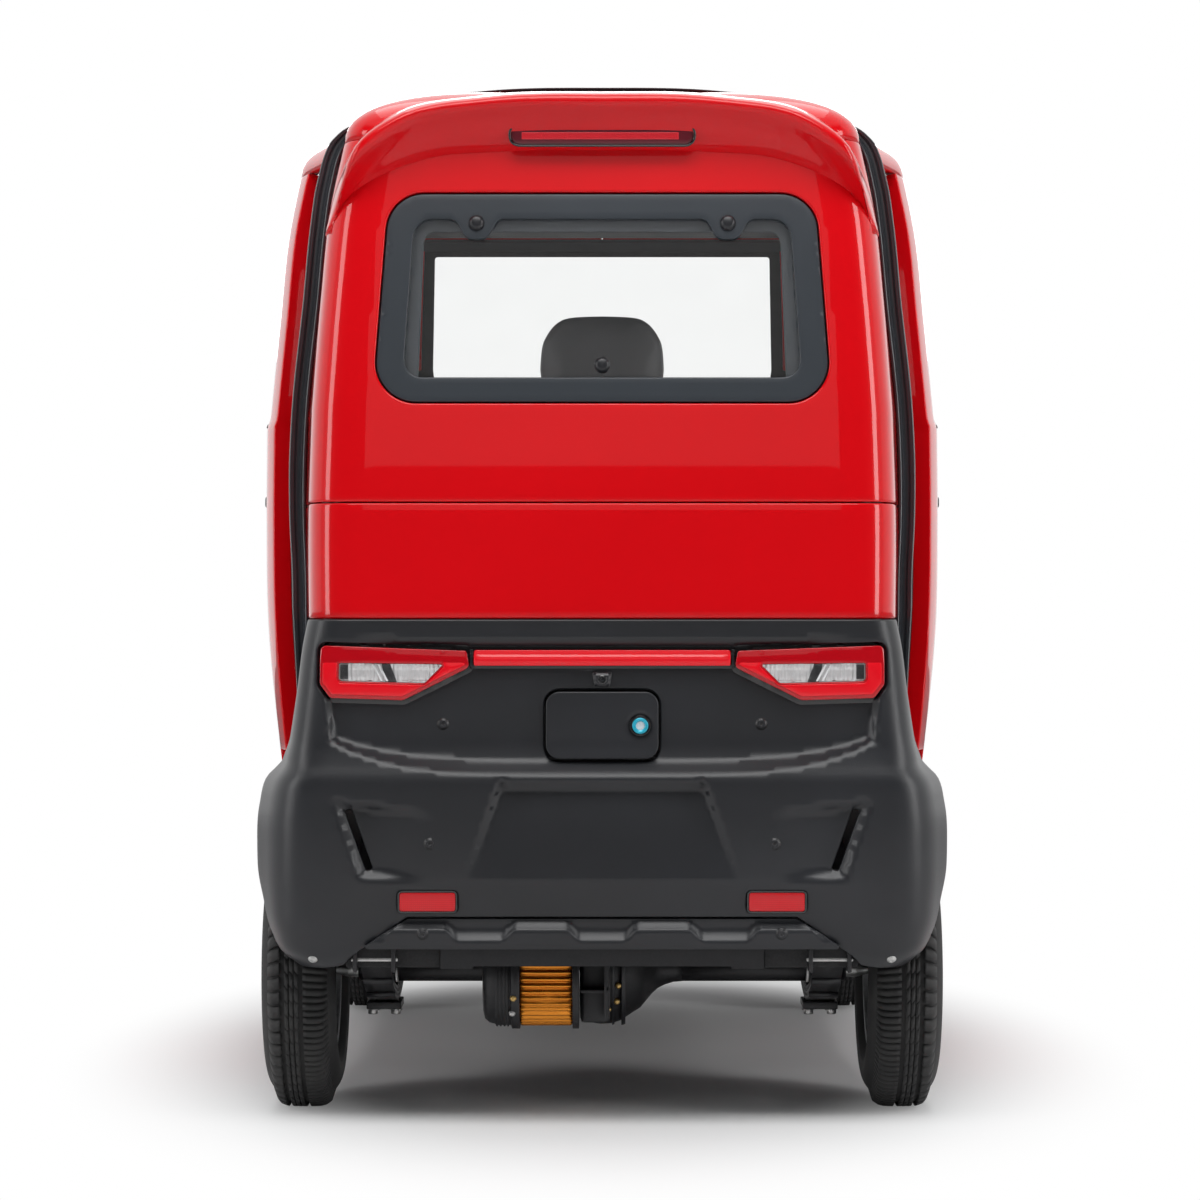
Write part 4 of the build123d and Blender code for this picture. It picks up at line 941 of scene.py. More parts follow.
def guide_relief(spots):
    return 0.004 * smooth(spots[:, 1], 0.722, 0.728)


layer("back", 0.018, shrunk(lamp_loop, -0.008), gloss_black, 0.012, 0.001, 0.004)
layer("lens", -0.0015, shrunk(lamp_loop, 0.0015), red_lens, 0.006, 0.0015, 0.004, [window_loop], bezel_relief,
      ("tail_lamps",))
layer("lining", 0.006, shrunk(lamp_loop, 0.003), red_glow, 0.008, 0.001, 0.010, [shrunk(window_loop, -0.001)])
layer("guide", -0.0025, shrunk(lamp_loop, GUIDE_OUT), red_glow, 0.006, 0.001, 0.003,
      [shrunk(window_loop, -0.003)], guide_relief)
layer("window", 0.0005, shrunk(window_loop, 0.0005), clear_lens, 0.008, 0.0008, 0.002)


# %% Reflector behind the clear window
def ribbed(spots):
    across, up = spots.T
    return (0.0018 * np.abs(np.sin(across * pi / RIB_PITCH))
            + 0.0012 * smooth(up % RIB_PITCH, 0.0058, RIB_PITCH))


silver = material("lamp_silver", metal((0.80, 0.80, 0.81), 0.12, 60.0, strength=0.03), Metallic=0.55,
                  Emission_Color=(1.0, 1.0, 1.0), Emission_Strength=0.10)
layer("reflector", 0.008, shrunk(window_loop, 0.001), silver, 0.0012, 0.0005, 0.002, relief=ribbed)
smoked = outline([(0.3255, 0.7215), (0.3385, 0.7215), (0.3325, 0.6945), (0.3150, 0.6945)], 0.001, 0.004)
layer("smoked", 0.0045, cast_x(smoked), charcoal_smooth, 0.006, 0.0005, 0.002)
end_cell = outline([(0.390, 0.7205), (0.402, 0.7207), (0.402, 0.6985), (0.390, 0.6985)], 0.001, 0.004)
layer("end_cell", 0.0045, cast_x(end_cell), charcoal_smooth, 0.006, 0.0005, 0.002)
for number, shift in enumerate((0.0, 0.0085)):
    bar = outline([(0.3415 + shift, 0.7215), (0.3455 + shift, 0.7215), (0.3315 + shift, 0.6950),
                   (0.3275 + shift, 0.6950)], 0.0008, 0.003)
    layer(f"flash_{number}", 0.003, cast_x(bar), chrome, 0.004, 0.0005, 0.003)

# %% [markdown]
# A light bar joins the lamps. It is one long red lens with a bright guide along its middle, clipped at both
# ends.

# %% Light bar
bar_loop = rectangle(-BAR_HALF, BAR_HALF, BAR_LOW, BAR_HIGH, 0.003, 0.004)


def bar_relief(spots):
    z = spots[:, 1]
    return 0.0035 * smooth(z, 0.733, 0.736) + 0.0015 * (1 - ramp(z - BAR_LOW, 0.005))


bar_lines = [(dense_path([(-0.192, z), (0.192, z)]), False) for z in (0.733, 0.736, 0.724)]
panel("light_bar", moulding_skin, bar_loop, "body", "red_lens", red_glow, lines=bar_lines, relief=bar_relief,
      spacing=0.006, roll=0.0015, thick=0.006)
panel("light_bar_back", sunk_skin(moulding_skin, 0.018), shrunk(bar_gap, -0.006), "body", "red_lens",
      gloss_black, spacing=0.012, roll=0.001, thick=0.003)
for side in (-1, 1):
    clip = outline([(0.1985 * side, 0.7185), (0.2035 * side, 0.7185), (0.2020 * side, 0.7445),
                    (0.1985 * side, 0.7445)], 0.001, 0.004)
    panel(f"bar_clip_{'right' if side > 0 else 'left'}", sunk_skin(moulding_skin, 0.002), clip, "body",
          "red_lens", gloss_black, spacing=0.004, roll=0.0006, thick=0.008)

# %% [markdown]
# The flap over the charging socket is gently crowned. Its lock is a turned cyan ring round a pale key slot,
# set in a dark cup. It all swings with the flap, so every piece of it rides on the flap's body.

# %% Charging flap
LOCK_X, LOCK_Z = 0.0585, 0.627
LID_MIDDLE = LID.mean(0)


def lid_relief(spots):
    crown = ((spots - LID_MIDDLE) / (0.0865, 0.0505)) ** 2
    cup = 1 - smooth(np.linalg.norm(spots - (LOCK_X, LOCK_Z), axis=1), 0.0165, 0.0195)
    return 0.0035 + 0.003 * crown.sum(1).clip(0, 2) / 2 + 0.002 * cup


panel("charge_flap", moulding_skin, LID, "charge_flap", "charcoal_moulding", charcoal,
      [circle(LOCK_X, LOCK_Z, 0.0160)],
      [(circle(LOCK_X, LOCK_Z, r), True) for r in (0.0178, 0.0200)], lid_relief, spacing=0.006, roll=0.002,
      thick=0.004, stands_for=("charge_lid",))


def lathe(profile, axis, centre, steps=48):
    """A closed profile of (along, radius) spun about an axis through centre, as points and faces.

    The profile runs so that faces point outwards: with the axis to its left.
    """
    points, faces = [], []
    turn = {"x": (1, 2, 0), "y": (2, 0, 1), "z": (0, 1, 2)}[axis]
    size = len(profile)
    for k in range(steps):
        a = 2 * pi * k / steps
        for place, radius in profile:
            spot = [0.0, 0.0, 0.0]
            spot[turn[0]], spot[turn[1]], spot[turn[2]] = radius * cos(a), radius * sin(a), place
            points.append([c + s for c, s in zip(centre, spot)])
    for k in range(steps):
        for i in range(size):
            j, here, there = (i + 1) % size, k * size, (k + 1) % steps * size
            faces.append((here + i, there + i, there + j, here + j))
    return points, faces


def solid_of(points, faces):
    """Weld the poles of a lathe and turn every face outwards."""
    mesh = bmesh.new()
    spots = [mesh.verts.new(p) for p in points]
    for face in faces:
        mesh.faces.new([spots[i] for i in face])
    bmesh.ops.remove_doubles(mesh, verts=mesh.verts, dist=1e-6)
    bmesh.ops.dissolve_degenerate(mesh, dist=1e-7, edges=mesh.edges)
    bmesh.ops.recalc_face_normals(mesh, faces=mesh.faces)
    mesh.verts.index_update()
    result = [tuple(v.co) for v in mesh.verts], [[v.index for v in f.verts] for f in mesh.faces]
    mesh.free()
    return result


def joined(*parts):
    """Several points-and-faces parts as one."""
    points, faces = [], []
    for part_points, part_faces in parts:
        base = len(points)
        points += list(part_points)
        faces += [[base + i for i in face] for face in part_faces]
    return points, faces


def turned(name, profile, axis, centre, body, slot, finish, stands_for=(), steps=48):
    """A solid of revolution whose profile runs along the axis and back."""
    return piece(name, *solid_of(*lathe(profile, axis, centre, steps)), body, slot, finish, stands_for)


def rounded_profile(corners, radius, steps=4):
    """A closed profile with every corner off the axis rounded."""
    loop = []
    count = len(corners)
    for i, (x, r) in enumerate(corners):
        if r <= 1e-9:
            loop.append((x, r))
            continue
        here = np.array((x, r))
        back, ahead = np.array(corners[i - 1]) - here, np.array(corners[(i + 1) % count]) - here
        lengths = np.linalg.norm(back), np.linalg.norm(ahead)
        reach = min(radius, 0.45 * lengths[0], 0.45 * lengths[1])
        start, end = here + back / lengths[0] * reach, here + ahead / lengths[1] * reach
        for k in range(steps + 1):
            s = k / steps
            loop.append(tuple(start * (1 - s) ** 2 + here * 2 * s * (1 - s) + end * s * s))
    return loop


LOCK_FACE_Y = -1.1155
LOCK_PARTS = (
    ("lock_cup", gloss_black, 0.0008, [(0.0155, 0.0), (0.0155, 0.0158), (0.001, 0.0158), (0.001, 0.0128),
                                       (0.004, 0.0128), (0.004, 0.0)]),
    ("lock_ring", cyan_ring_painted_glow, 0.0012, [(0.006, 0.0068), (0.006, 0.0124), (0.0005, 0.0124), (-0.0005, 0.0100),
                                      (0.001, 0.0068)]),
    ("key_barrel", pale_key, 0.0008, [(0.008, 0.0), (0.008, 0.0070), (0.0025, 0.0070), (0.0018, 0.0)]),
)
for name, finish, radius, corners in LOCK_PARTS:
    turned(name, rounded_profile(corners, radius), "y", (LOCK_X, LOCK_FACE_Y, LOCK_Z), "charge_flap",
           "black_plastic", finish)

# %% [markdown]
# Behind the red panels runs a dark inner skin, as the cabin's liner does. It closes the shut lines from
# behind so that no light comes through them, and its near-black colour is painted shade that makes them read
# as dark joints.

# %% Inner skin behind the rear
BACKING_REACH = 0.57
backing_skin = sunk_skin(rear_skin, 0.0235)
seam_strip = rectangle(-BACKING_REACH, BACKING_REACH, 0.940, 1.000, 0.002, 0.010)
tail_strip = rectangle(-BACKING_REACH, BACKING_REACH, 0.740, 0.835, 0.002, 0.010)
# near-black sheets: painted shade inside the shut lines and round the window
for name, loop, holes, spacing in (
        ("seam_backing", seam_strip, [], 0.020), ("tail_backing", tail_strip, [], 0.020),
        ("window_backing", shrunk(REAR_WINDOW, -0.022), [shrunk(REAR_WINDOW, 0.010)], 0.012)):
    panel(name, backing_skin, loop, "body", "black_plastic", black_plastic, holes, spacing=spacing,
          roll=0.001, thick=0.003)

# %% [markdown]
# Below the bumper sits a separate insert. Its upper edge is a sloping band that steps up and down in a row of
# blunt teeth, which is pure relief on the same skin. The reflectors and a ring of small plugs finish the
# tail.

# %% Rear insert and reflectors
INSERT_FOOT_Z, INSERT_TOP_Z = 0.280, 0.327
TOOTH_PITCH = 0.188
insert_loop = outline([(-0.374, INSERT_FOOT_Z), (0.374, INSERT_FOOT_Z), (0.300, INSERT_TOP_Z),
                       (-0.300, INSERT_TOP_Z)], 0.004, 0.005)


def tooth_line(x):
    """Height at which the sloping band meets the lower face, stepping between two levels."""
    wave = np.abs((x + TOOTH_PITCH / 2) % TOOTH_PITCH - TOOTH_PITCH / 2)
    return 0.296 + 0.017 * smooth(wave, 0.032, 0.058)


def insert_relief(spots):
    x, z = spots.T
    return 0.010 + 0.010 * ramp(z - tooth_line(x), 0.012) - 0.004 * ramp(tooth_line(x) - z, 0.002)


xs = np.linspace(-0.330, 0.330, 240)
panel("rear_insert_skin", moulding_skin, insert_loop, "body", "charcoal_moulding", charcoal,
      lines=[(np.stack([xs, tooth_line(xs) + lift], 1), False) for lift in (-0.002, 0.0, 0.012)],
      relief=insert_relief, spacing=0.005, roll=0.001, thick=0.006, stands_for=("rear_insert",))
reflector_loop = cast_x(REFLECTOR)
pair_of("reflector", sunk_skin(moulding_skin, 0.003), reflector_loop, finish=reflector_red, body="body",
        slot="red_lens", spacing=0.008, roll=0.0012, thick=0.006, stands_for=("rear_reflectors",))
pair_of("reflector_cup", sunk_skin(moulding_skin, 0.0025), shrunk(reflector_loop, -0.0028),
        [shrunk(reflector_loop, -0.0004)], finish=gloss_black, body="body", slot="black_plastic",
        spacing=0.006, roll=0.0004, thick=0.008)

# %% [markdown]
# The plugs are all alike: a shallow ring, a groove and a domed middle. Geometry Nodes repeat them: the tree
# takes points that carry an outward direction, puts one plug on each, turns it to face that way, and makes
# them real.

# %% Repeats by Geometry Nodes
def geometry_tree(name, inputs):
    """A new geometry tree with named inputs, and a short way of adding nodes to it."""
    tree = bpy.data.node_groups.new(name, "GeometryNodeTree")
    tree.interface.new_socket("Geometry", in_out="INPUT", socket_type="NodeSocketGeometry")
    for label, kind in inputs.items():
        tree.interface.new_socket(label, in_out="INPUT", socket_type="NodeSocket" + kind)
    tree.interface.new_socket("Geometry", in_out="OUTPUT", socket_type="NodeSocketGeometry")

    def add(kind, settings=None, **sockets):
        made = tree.nodes.new(kind if kind.startswith(("Function", "Node")) else "GeometryNode" + kind)
        for key, value in (settings or {}).items():
            setattr(made, key, value)
        for key, value in sockets.items():
            socket = made.inputs[key.replace("_", " ")]
            if isinstance(value, bpy.types.NodeSocket):
                tree.links.new(value, socket)
            else:
                socket.default_value = value
        return made

    return tree, add


def repeater():
    """Puts one small part on every point, with its own +Z turned to the point's direction."""
    tree, add = geometry_tree("repeater", {"Part": "Object", "Scale": "Float", "Finish": "Material"})
    given = add("NodeGroupInput")
    facing = add("InputNamedAttribute", {"data_type": "FLOAT_VECTOR"}, Name="facing")
    part = add("ObjectInfo", Object=given.outputs["Part"])
    turn = add("FunctionNodeAlignRotationToVector", {"axis": "Z"}, Vector=facing.outputs[0])
    placed = add("InstanceOnPoints", Points=given.outputs["Geometry"], Instance=part.outputs["Geometry"],
                 Rotation=turn.outputs[0], Scale=given.outputs["Scale"])
    real = add("RealizeInstances", Geometry=placed.outputs[0])
    painted = add("SetMaterial", Geometry=real.outputs[0], Material=given.outputs["Finish"])
    add("NodeGroupOutput", Geometry=painted.outputs[0])
    return tree


REPEATER = repeater()


def hidden_part(name, points, faces):
    """A mesh that is only ever used as the pattern for repeats."""
    mesh = mesh_of(name, points, faces)
    mesh.polygons.foreach_set("use_smooth", [True] * len(mesh.polygons))
    return bpy.data.objects.new(name, mesh)


def settled(made):
    """The evaluated mesh of an object, as a plain one, with its modifiers taken off."""
    graph = bpy.context.evaluated_depsgraph_get()
    real = bpy.data.meshes.new_from_object(made.evaluated_get(graph))
    made.modifiers.clear()
    return real


def repeated(name, part, spots, facings, body, finish):
    """A part at every spot, facing each spot's direction, as one plain mesh."""
    mesh = mesh_of(name, spots, [])
    directions = mesh.attributes.new("facing", "FLOAT_VECTOR", "POINT")
    directions.data.foreach_set("vector", np.array(facings, np.float32).ravel())
    made = shown(name, mesh)
    modifier = made.modifiers.new("repeat", "NODES")
    modifier.node_group = REPEATER
    sockets = {s.name: s.identifier for s in REPEATER.interface.items_tree if s.in_out == "INPUT"}
    for label, value in {"Part": part, "Scale": 1.0, "Finish": finish}.items():
        modifier[sockets[label]] = value
    bpy.context.view_layer.update()
    made.data = settled(made)
    return dressed(made, body, finish)


def lathe_part(name, profile, steps=24):
    """A pattern for repeats, turned about its own Z."""
    return hidden_part(name, *solid_of(*lathe(profile, "z", (0, 0, 0), steps)))


def round_part(name, corners, radius, rounding=3, steps=24):
    """The same, with the corners of its profile rounded."""
    return lathe_part(name, rounded_profile(corners, radius, rounding), steps)


plug_part = round_part("plug_part", [
    (-0.004, 0.0), (-0.004, 0.0078), (-0.0006, 0.0078), (-0.0006, 0.0066), (0.0008, 0.0058), (0.0008, 0.0032),
    (-0.0002, 0.0026), (-0.0002, 0.0)], 0.0005)
PLUGS = np.array([(0.245, 0.6288), (0.2640, 0.4467), (0.276, 0.3050)])
plugs = np.concatenate([PLUGS, PLUGS * [-1, 1]])
sink = moulding_relief(plugs)
sink[[2, 5]] = insert_relief(plugs[[2, 5]])
seats, outward = on_skin(moulding_skin, plugs, sink - 0.0003)
repeated("bumper_plugs", plug_part, seats, outward, "body", charcoal_smooth)
cups, _ = on_skin(moulding_skin, plugs, sink + 0.0001)
cup_part = lathe_part("cup_part", [(-0.003, 0.0), (-0.003, 0.0096), (0.0003, 0.0096), (0.0003, 0.0)])
repeated("plug_cups", cup_part, cups, outward, "body", black_plastic)

screw_part = round_part("screw_part", [
    (-0.003, 0.0), (-0.003, 0.0075), (0.0004, 0.0075), (0.0030, 0.0045), (0.0036, 0.0022), (0.0024, 0.0018),
    (0.0024, 0.0)], 0.0006)
foot = np.array([(0.4455, 0.2665), (-0.4455, 0.2665)])
spots, ways = on_skin(moulding_skin, cast_x(foot), 0.0)
repeated("fender_screws", screw_part, spots, ways, "body", steel)

# %% [markdown]
# A small camera looks out above the charging flap: a pod with chamfered sides and a domed lens in a ring.

# %% Reversing camera
POD = outline([(-0.012, 0.6865), (0.012, 0.6865), (0.0155, 0.7090), (-0.0155, 0.7090)], 0.003, 0.002)


def pod_relief(spots):
    return 0.011 - 0.008 * ramp(depth_in(POD, spots), 0.004)


panel("camera_pod", moulding_skin, POD, "body", "black_plastic", charcoal_smooth, relief=pod_relief,
      lines=[(shrunk(POD, 0.004), True)], spacing=0.003, roll=0.0006, thick=0.010)
POD_MIDDLE = (0.0, -1.112, 0.6976)
pod_ring = rounded_profile([(0.003, 0.0), (0.003, 0.0072), (-0.0020, 0.0072), (-0.0030, 0.0052),
                            (-0.0010, 0.0045), (-0.0010, 0.0)], 0.0006)
turned("camera_ring", pod_ring, "y", POD_MIDDLE, "body", "black_plastic", gloss_black)
pod_lens = rounded_profile([(0.001, 0.0), (0.001, 0.0042), (-0.0015, 0.0038), (-0.0030, 0.0022),
                            (-0.0034, 0.0)], 0.001)
turned("camera_lens", pod_lens, "y", POD_MIDDLE, "body", "black_plastic", tinted_glass)

# %% [markdown]
# The rear window is a slate-grey frame set into the panel, with two lobes that carry its hinge knobs, and a
# clear pane behind it. The cabin's own lining shows as a paler band just inside the frame.

# %% Rear window
KNOB_X, KNOB_Z, LOBE_FOOT_Z = 0.194, 1.4025, 1.3775
OPEN_TOP_Z = 1.409


def lobed(half_top, top_z):
    """The corners and radii of the frame's opening, with a lobe hanging down at each knob."""
    right = [(-0.307, 1.163), (0.307, 1.163), (half_top, top_z)]
    radii = [0.028, 0.028, 0.042]
    for x in (KNOB_X, -KNOB_X):
        right += [(x + 0.033, top_z), (x + 0.017, LOBE_FOOT_Z), (x - 0.017, LOBE_FOOT_Z), (x - 0.033, top_z)]
        radii += [0.016, 0.020, 0.020, 0.016]
    return outline(right + [(-half_top, top_z)], radii + [0.042], 0.003)


window_frame = lobed(0.290, OPEN_TOP_Z)
panel("window_frame", rear_skin, REAR_WINDOW, "body", "slate_frame", slate, [window_frame], spacing=0.008,
      roll=0.0025, thick=0.016, relief=lambda s: np.full(len(s), 0.0025), stands_for=("rear_window_frame",))
LINING = outline([(-0.286, 1.120), (0.286, 1.120), (0.276, 1.394), (-0.276, 1.394)],
                 [0.01, 0.01, 0.018, 0.018])
slate_pale = material("slate_lining", grained((0.075, 0.085, 0.100), (0.090, 0.100, 0.115), 0.5,
                                              1200.0, 0.12))
panel("window_lining", sunk_skin(rear_skin, 0.030), shrunk(REAR_WINDOW, 0.008), "body", "cabin_plastic",
      slate_pale, [LINING], spacing=0.012, roll=0.002, thick=0.010)
panel("rear_glass", sunk_skin(rear_skin, 0.012), shrunk(REAR_OPENING, -0.004), "body", "clear_glass",
      clear_glass, spacing=0.015, roll=0.0008, thick=0.004, stands_for=("rear_window_glass",))
knob_part = round_part("knob_part", [
    (-0.002, 0.0), (-0.002, 0.0125), (0.0035, 0.0125), (0.0090, 0.0085), (0.0108, 0.0)], 0.0022, 5, 40)
for name, places, sunk in (("window_knobs", [(KNOB_X, KNOB_Z), (-KNOB_X, KNOB_Z)], 0.0030),
                           ("window_latch", [(0.0, 1.1830)], 0.0125)):
    seats, outward = on_skin(rear_skin, np.array(places), sunk)
    repeated(name, knob_part, seats, outward, "body", charcoal_smooth)

# %% [markdown]
# The roof is a shallow dome that starts from the top of the walls. Each ring of it is the hull's outline
# drawn in towards a ridge line while it rises, which keeps the front round and the back square.

# %% Roof
ROOF_RISE, ROOF_POWER, ROOF_THICK = 0.103, 0.8, 0.030
ROOF_CENTRES = np.array([-0.700, -0.700, -0.700, -0.330, -0.200, -0.200, -0.200])
ROOF_RINGS, ROOF_ROUND = 18, 110
LAST_TURN = radians(84.0)


def ring_faces(rings):
    """Quads between the neighbouring rings of a stack."""
    size = len(rings[0])
    return [(i * size + k, i * size + (k + 1) % size, (i + 1) * size + (k + 1) % size, (i + 1) * size + k)
            for i in range(len(rings) - 1) for k in range(size)]


def roof_ring(turn, inset):
    """One ring of the dome: right half from the back to the front, then the left half back again."""
    z = np.full(ROOF_ROUND, UPPER_HULL[-1][0])
    rise, keep = sin(turn) ** ROOF_POWER, cos(turn) ** ROOF_POWER
    corners = []
    for (x, y), middle in zip(hull_corners(z), ROOF_CENTRES):
        pull = np.sign(x) * inset
        along_y = np.sign(y - middle) * inset if middle in (-0.700, -0.200) else 0.0
        corners.append(np.stack([(x - pull) * keep, middle + (y - along_y - middle) * keep]))
    total = sum(np.linalg.norm(b - a, axis=0) for a, b in zip(corners, corners[1:]))
    spots, _ = along(corners, [r * keep for r in HULL_RADII], np.linspace(0, 1, ROOF_ROUND) * total)
    right = np.stack([spots[0], spots[1], z - 0.005 + (ROOF_RISE - inset) * rise], 1)
    return np.concatenate([right, (right * [-1, 1, 1])[-2:0:-1]])


def roof_shell():
    outer, inner = [[roof_ring(LAST_TURN * k / ROOF_RINGS, inset) for k in range(ROOF_RINGS + 1)]
                    for inset in (0.0, ROOF_THICK)]
    rings = outer[::-1] + inner
    size = len(rings[0])
    faces = ring_faces(rings)
    for base, way in ((0, -1), ((len(rings) - 1) * size, 1)):
        for k in range(ROOF_ROUND - 1):
            left, left_next = (size - k) % size, (size - k - 1) % size
            quad = list(dict.fromkeys([base + k, base + k + 1, base + left_next, base + left]))
            faces.append(tuple(quad[::way]))
    return solid_of(np.concatenate(rings), faces)


piece("roof_skin", *roof_shell(), "body", "red_paint", red_paint, ("roof_panel",))

# %% [markdown]
# The visor over the rear window is a hood with a rolled lip, a shaded underside and a soft root against the
# panel. It is skinned over a family of arches, one for each line that runs round the hood.

# %% Visor
VISOR_ARCHES = [
    (-0.930, [(0.434, 1.391), (0.419, 1.475), (0.395, 1.532), (0.348, 1.582), (0.200, 1.618), (0.0, 1.625)]),
    (-1.020, [(0.430, 1.391), (0.412, 1.471), (0.387, 1.527), (0.334, 1.575), (0.190, 1.607), (0.0, 1.613)]),
    (-1.100, [(0.424, 1.391), (0.402, 1.467), (0.376, 1.523), (0.316, 1.568), (0.175, 1.595), (0.0, 1.600)]),
    (-1.121, [(0.423, 1.391), (0.400, 1.465), (0.3735, 1.5205), (0.3115, 1.5635), (0.171, 1.5905),
              (0.0, 1.5955)]),
    (-1.129, [(0.421, 1.392), (0.3975, 1.463), (0.3705, 1.517), (0.308, 1.5595), (0.168, 1.5850),
              (0.0, 1.5900)]),
    (-1.129, [(0.4177, 1.4016), (0.3915, 1.475), (0.355, 1.5240), (0.302, 1.5580), (0.200, 1.5775),
              (0.0, 1.5825)]),
    (-1.123, [(0.416, 1.403), (0.387, 1.472), (0.350, 1.517), (0.297, 1.5510), (0.196, 1.5710),
              (0.0, 1.5760)]),
    (-1.108, [(0.416, 1.404), (0.384, 1.465), (0.345, 1.508), (0.291, 1.5390), (0.192, 1.5570),
              (0.0, 1.5615)]),
    (-1.094, [(0.417, 1.405), (0.381, 1.457), (0.339, 1.498), (0.284, 1.5260), (0.170, 1.5410),
              (0.0, 1.5445)]),
    (-1.088, [(0.417, 1.406), (0.379, 1.452), (0.335, 1.490), (0.280, 1.5180), (0.165, 1.5340),
              (0.0, 1.5380)]),
    (-1.070, [(0.415, 1.406), (0.371, 1.443), (0.327, 1.478), (0.276, 1.5020), (0.160, 1.5160),
              (0.0, 1.5190)]),
    (-1.048, [(0.413, 1.408), (0.367, 1.438), (0.324, 1.470), (0.274, 1.4940), (0.158, 1.5070),
              (0.0, 1.5100)]),
    (-1.030, [(0.412, 1.406), (0.370, 1.450), (0.328, 1.490), (0.276, 1.5120), (0.160, 1.5240),
              (0.0, 1.5270)]),
    (-0.960, [(0.420, 1.391), (0.395, 1.480), (0.362, 1.535), (0.294, 1.570), (0.170, 1.590), (0.0, 1.595)]),
]
ARCH_STEPS = 72


def smooth_path(points, count):
    """Evenly spaced points along a cubic through the given ones."""
    points = np.array(points, float)
    reach = np.concatenate([[0], np.cumsum(np.linalg.norm(np.diff(points, axis=0), axis=1))])
    rows = np.column_stack([reach, points])
    fine = eased_rows(rows, np.linspace(0, reach[-1], 400)).T
    run = np.concatenate([[0], np.cumsum(np.linalg.norm(np.diff(fine, axis=0), axis=1))])
    even = np.linspace(0, run[-1], count)
    return np.stack([np.interp(even, run, fine[:, k]) for k in range(fine.shape[1])], 1)


def whole_arch(half):
    """A half arch from its right foot to the crown, completed to the left foot."""
    return half + [(-x, z) for x, z in half[-2::-1]]


def skinned(rings):
    """Points and faces of a skin over rings of equal size, with its ends closed."""
    size = len(rings[0])
    first, last = tuple(range(size))[::-1], tuple((len(rings) - 1) * size + k for k in range(size))
    return solid_of(np.concatenate(rings), ring_faces(rings) + [first, last])


FOOT_Y = -1.040
arches = []
for y, half in VISOR_ARCHES:
    path = smooth_path(whole_arch(half), ARCH_STEPS + 1)
    # the hood's feet run out into the cabin's corners
    tuck = 1.0 - smooth(path[:, 1], 1.388, 1.520)
    arches.append(np.column_stack([path[:, 0], y + (max(y, FOOT_Y) - y) * tuck, path[:, 1]]))
sections = [np.array([arch[k] for arch in arches]) for k in range(ARCH_STEPS + 1)]
# lines along the hood are eased too, except at the crease before the root
fine_sections = []
for section in sections:
    outer = smooth_path(section[:10], 28)
    root = smooth_path(section[9:], 14)
    fine_sections.append(np.concatenate([outer, root[1:]]))
piece("visor", *skinned(fine_sections), "body", "red_paint", red_paint)

# %% [markdown]
# The high stop lamp is a slot-shaped lens under the visor. A row of small light cells lies on its middle, and
# a glossy black rim seats it in the hood.

# %% High stop lamp
STOP_LOW_Z, STOP_HIGH_Z, STOP_HALF = 1.5215, 1.5505, 0.141


def stop_skin(t, z):
    """A flat face across the car that leans forward a little as it goes down."""
    return np.stack([t, -1.0935 + 0.10 * (1.545 - z) + 0.02 * t**2, z], 1)


stop_loop = rectangle(-STOP_HALF, STOP_HALF, STOP_LOW_Z, STOP_HIGH_Z, 0.0142, 0.003)
panel("stop_lamp_rim", sunk_skin(stop_skin, -0.003), shrunk(stop_loop, -0.0035), "body", "black_plastic",
      gloss_black, [stop_loop], spacing=0.004, roll=0.0015, thick=0.020)
dark_lens = material("dark_red_lens", hazed((0.115, 0.012, 0.020), 0.10), Coat_Weight=1.0,
                     Coat_Roughness=0.03)
cell_red = material("cell_red", hazed((0.55, 0.015, 0.025), 0.25), Coat_Weight=0.7,
                    Emission_Color=(0.8, 0.02, 0.03), Emission_Strength=0.06)
panel("stop_lamp", stop_skin, shrunk(stop_loop, 0.0006), "body", "red_lens", dark_lens, spacing=0.006,
      roll=0.001, thick=0.012, stands_for=("high_stop_lamp",))


def cell_relief(spots):
    return 0.0006 * np.abs(np.sin(spots[:, 0] * pi / 0.0032))


cells = rectangle(-0.124, 0.118, 1.5295, 1.5405, 0.001, 0.002)
panel("stop_lamp_cells", sunk_skin(stop_skin, -0.0008), cells, "body", "red_lens", cell_red,
      relief=cell_relief, spacing=0.0011, roll=0.0003, thick=0.001)

# %% [markdown]
# A glossy black rail with two ribs hoops the body behind the doors. Its section is carried along a path that
# climbs the quarter, crosses the roof and comes down the other side.

# %% Ribbed rail
RAIL_INNER = [(0.473, 0.568), (0.471, 0.750), (0.4712, 0.860), (0.4740, 0.948), (0.4690, 1.125),
              (0.4507, 1.301),
              (0.4400, 1.412), (0.4290, 1.486), (0.4140, 1.542), (0.3950, 1.572), (0.3550, 1.5915),
              (0.2850, 1.6185), (0.1900, 1.6315), (0.0, 1.6370)]
RAIL_HEIGHT = [(0.0, 0.011), (0.15, 0.0195), (0.24, 0.0250), (0.32, 0.0255), (0.47, 0.028), (0.75, 0.028),
               (0.905, 0.028), (0.950, 0.0265), (0.980, 0.024), (1.000, 0.017), (1.016, 0.0095),
               (1.035, 0.0035), (1.070, 0.0045), (1.2, 0.0035), (1.5, 0.0032)]
RAIL_RINGS = 460


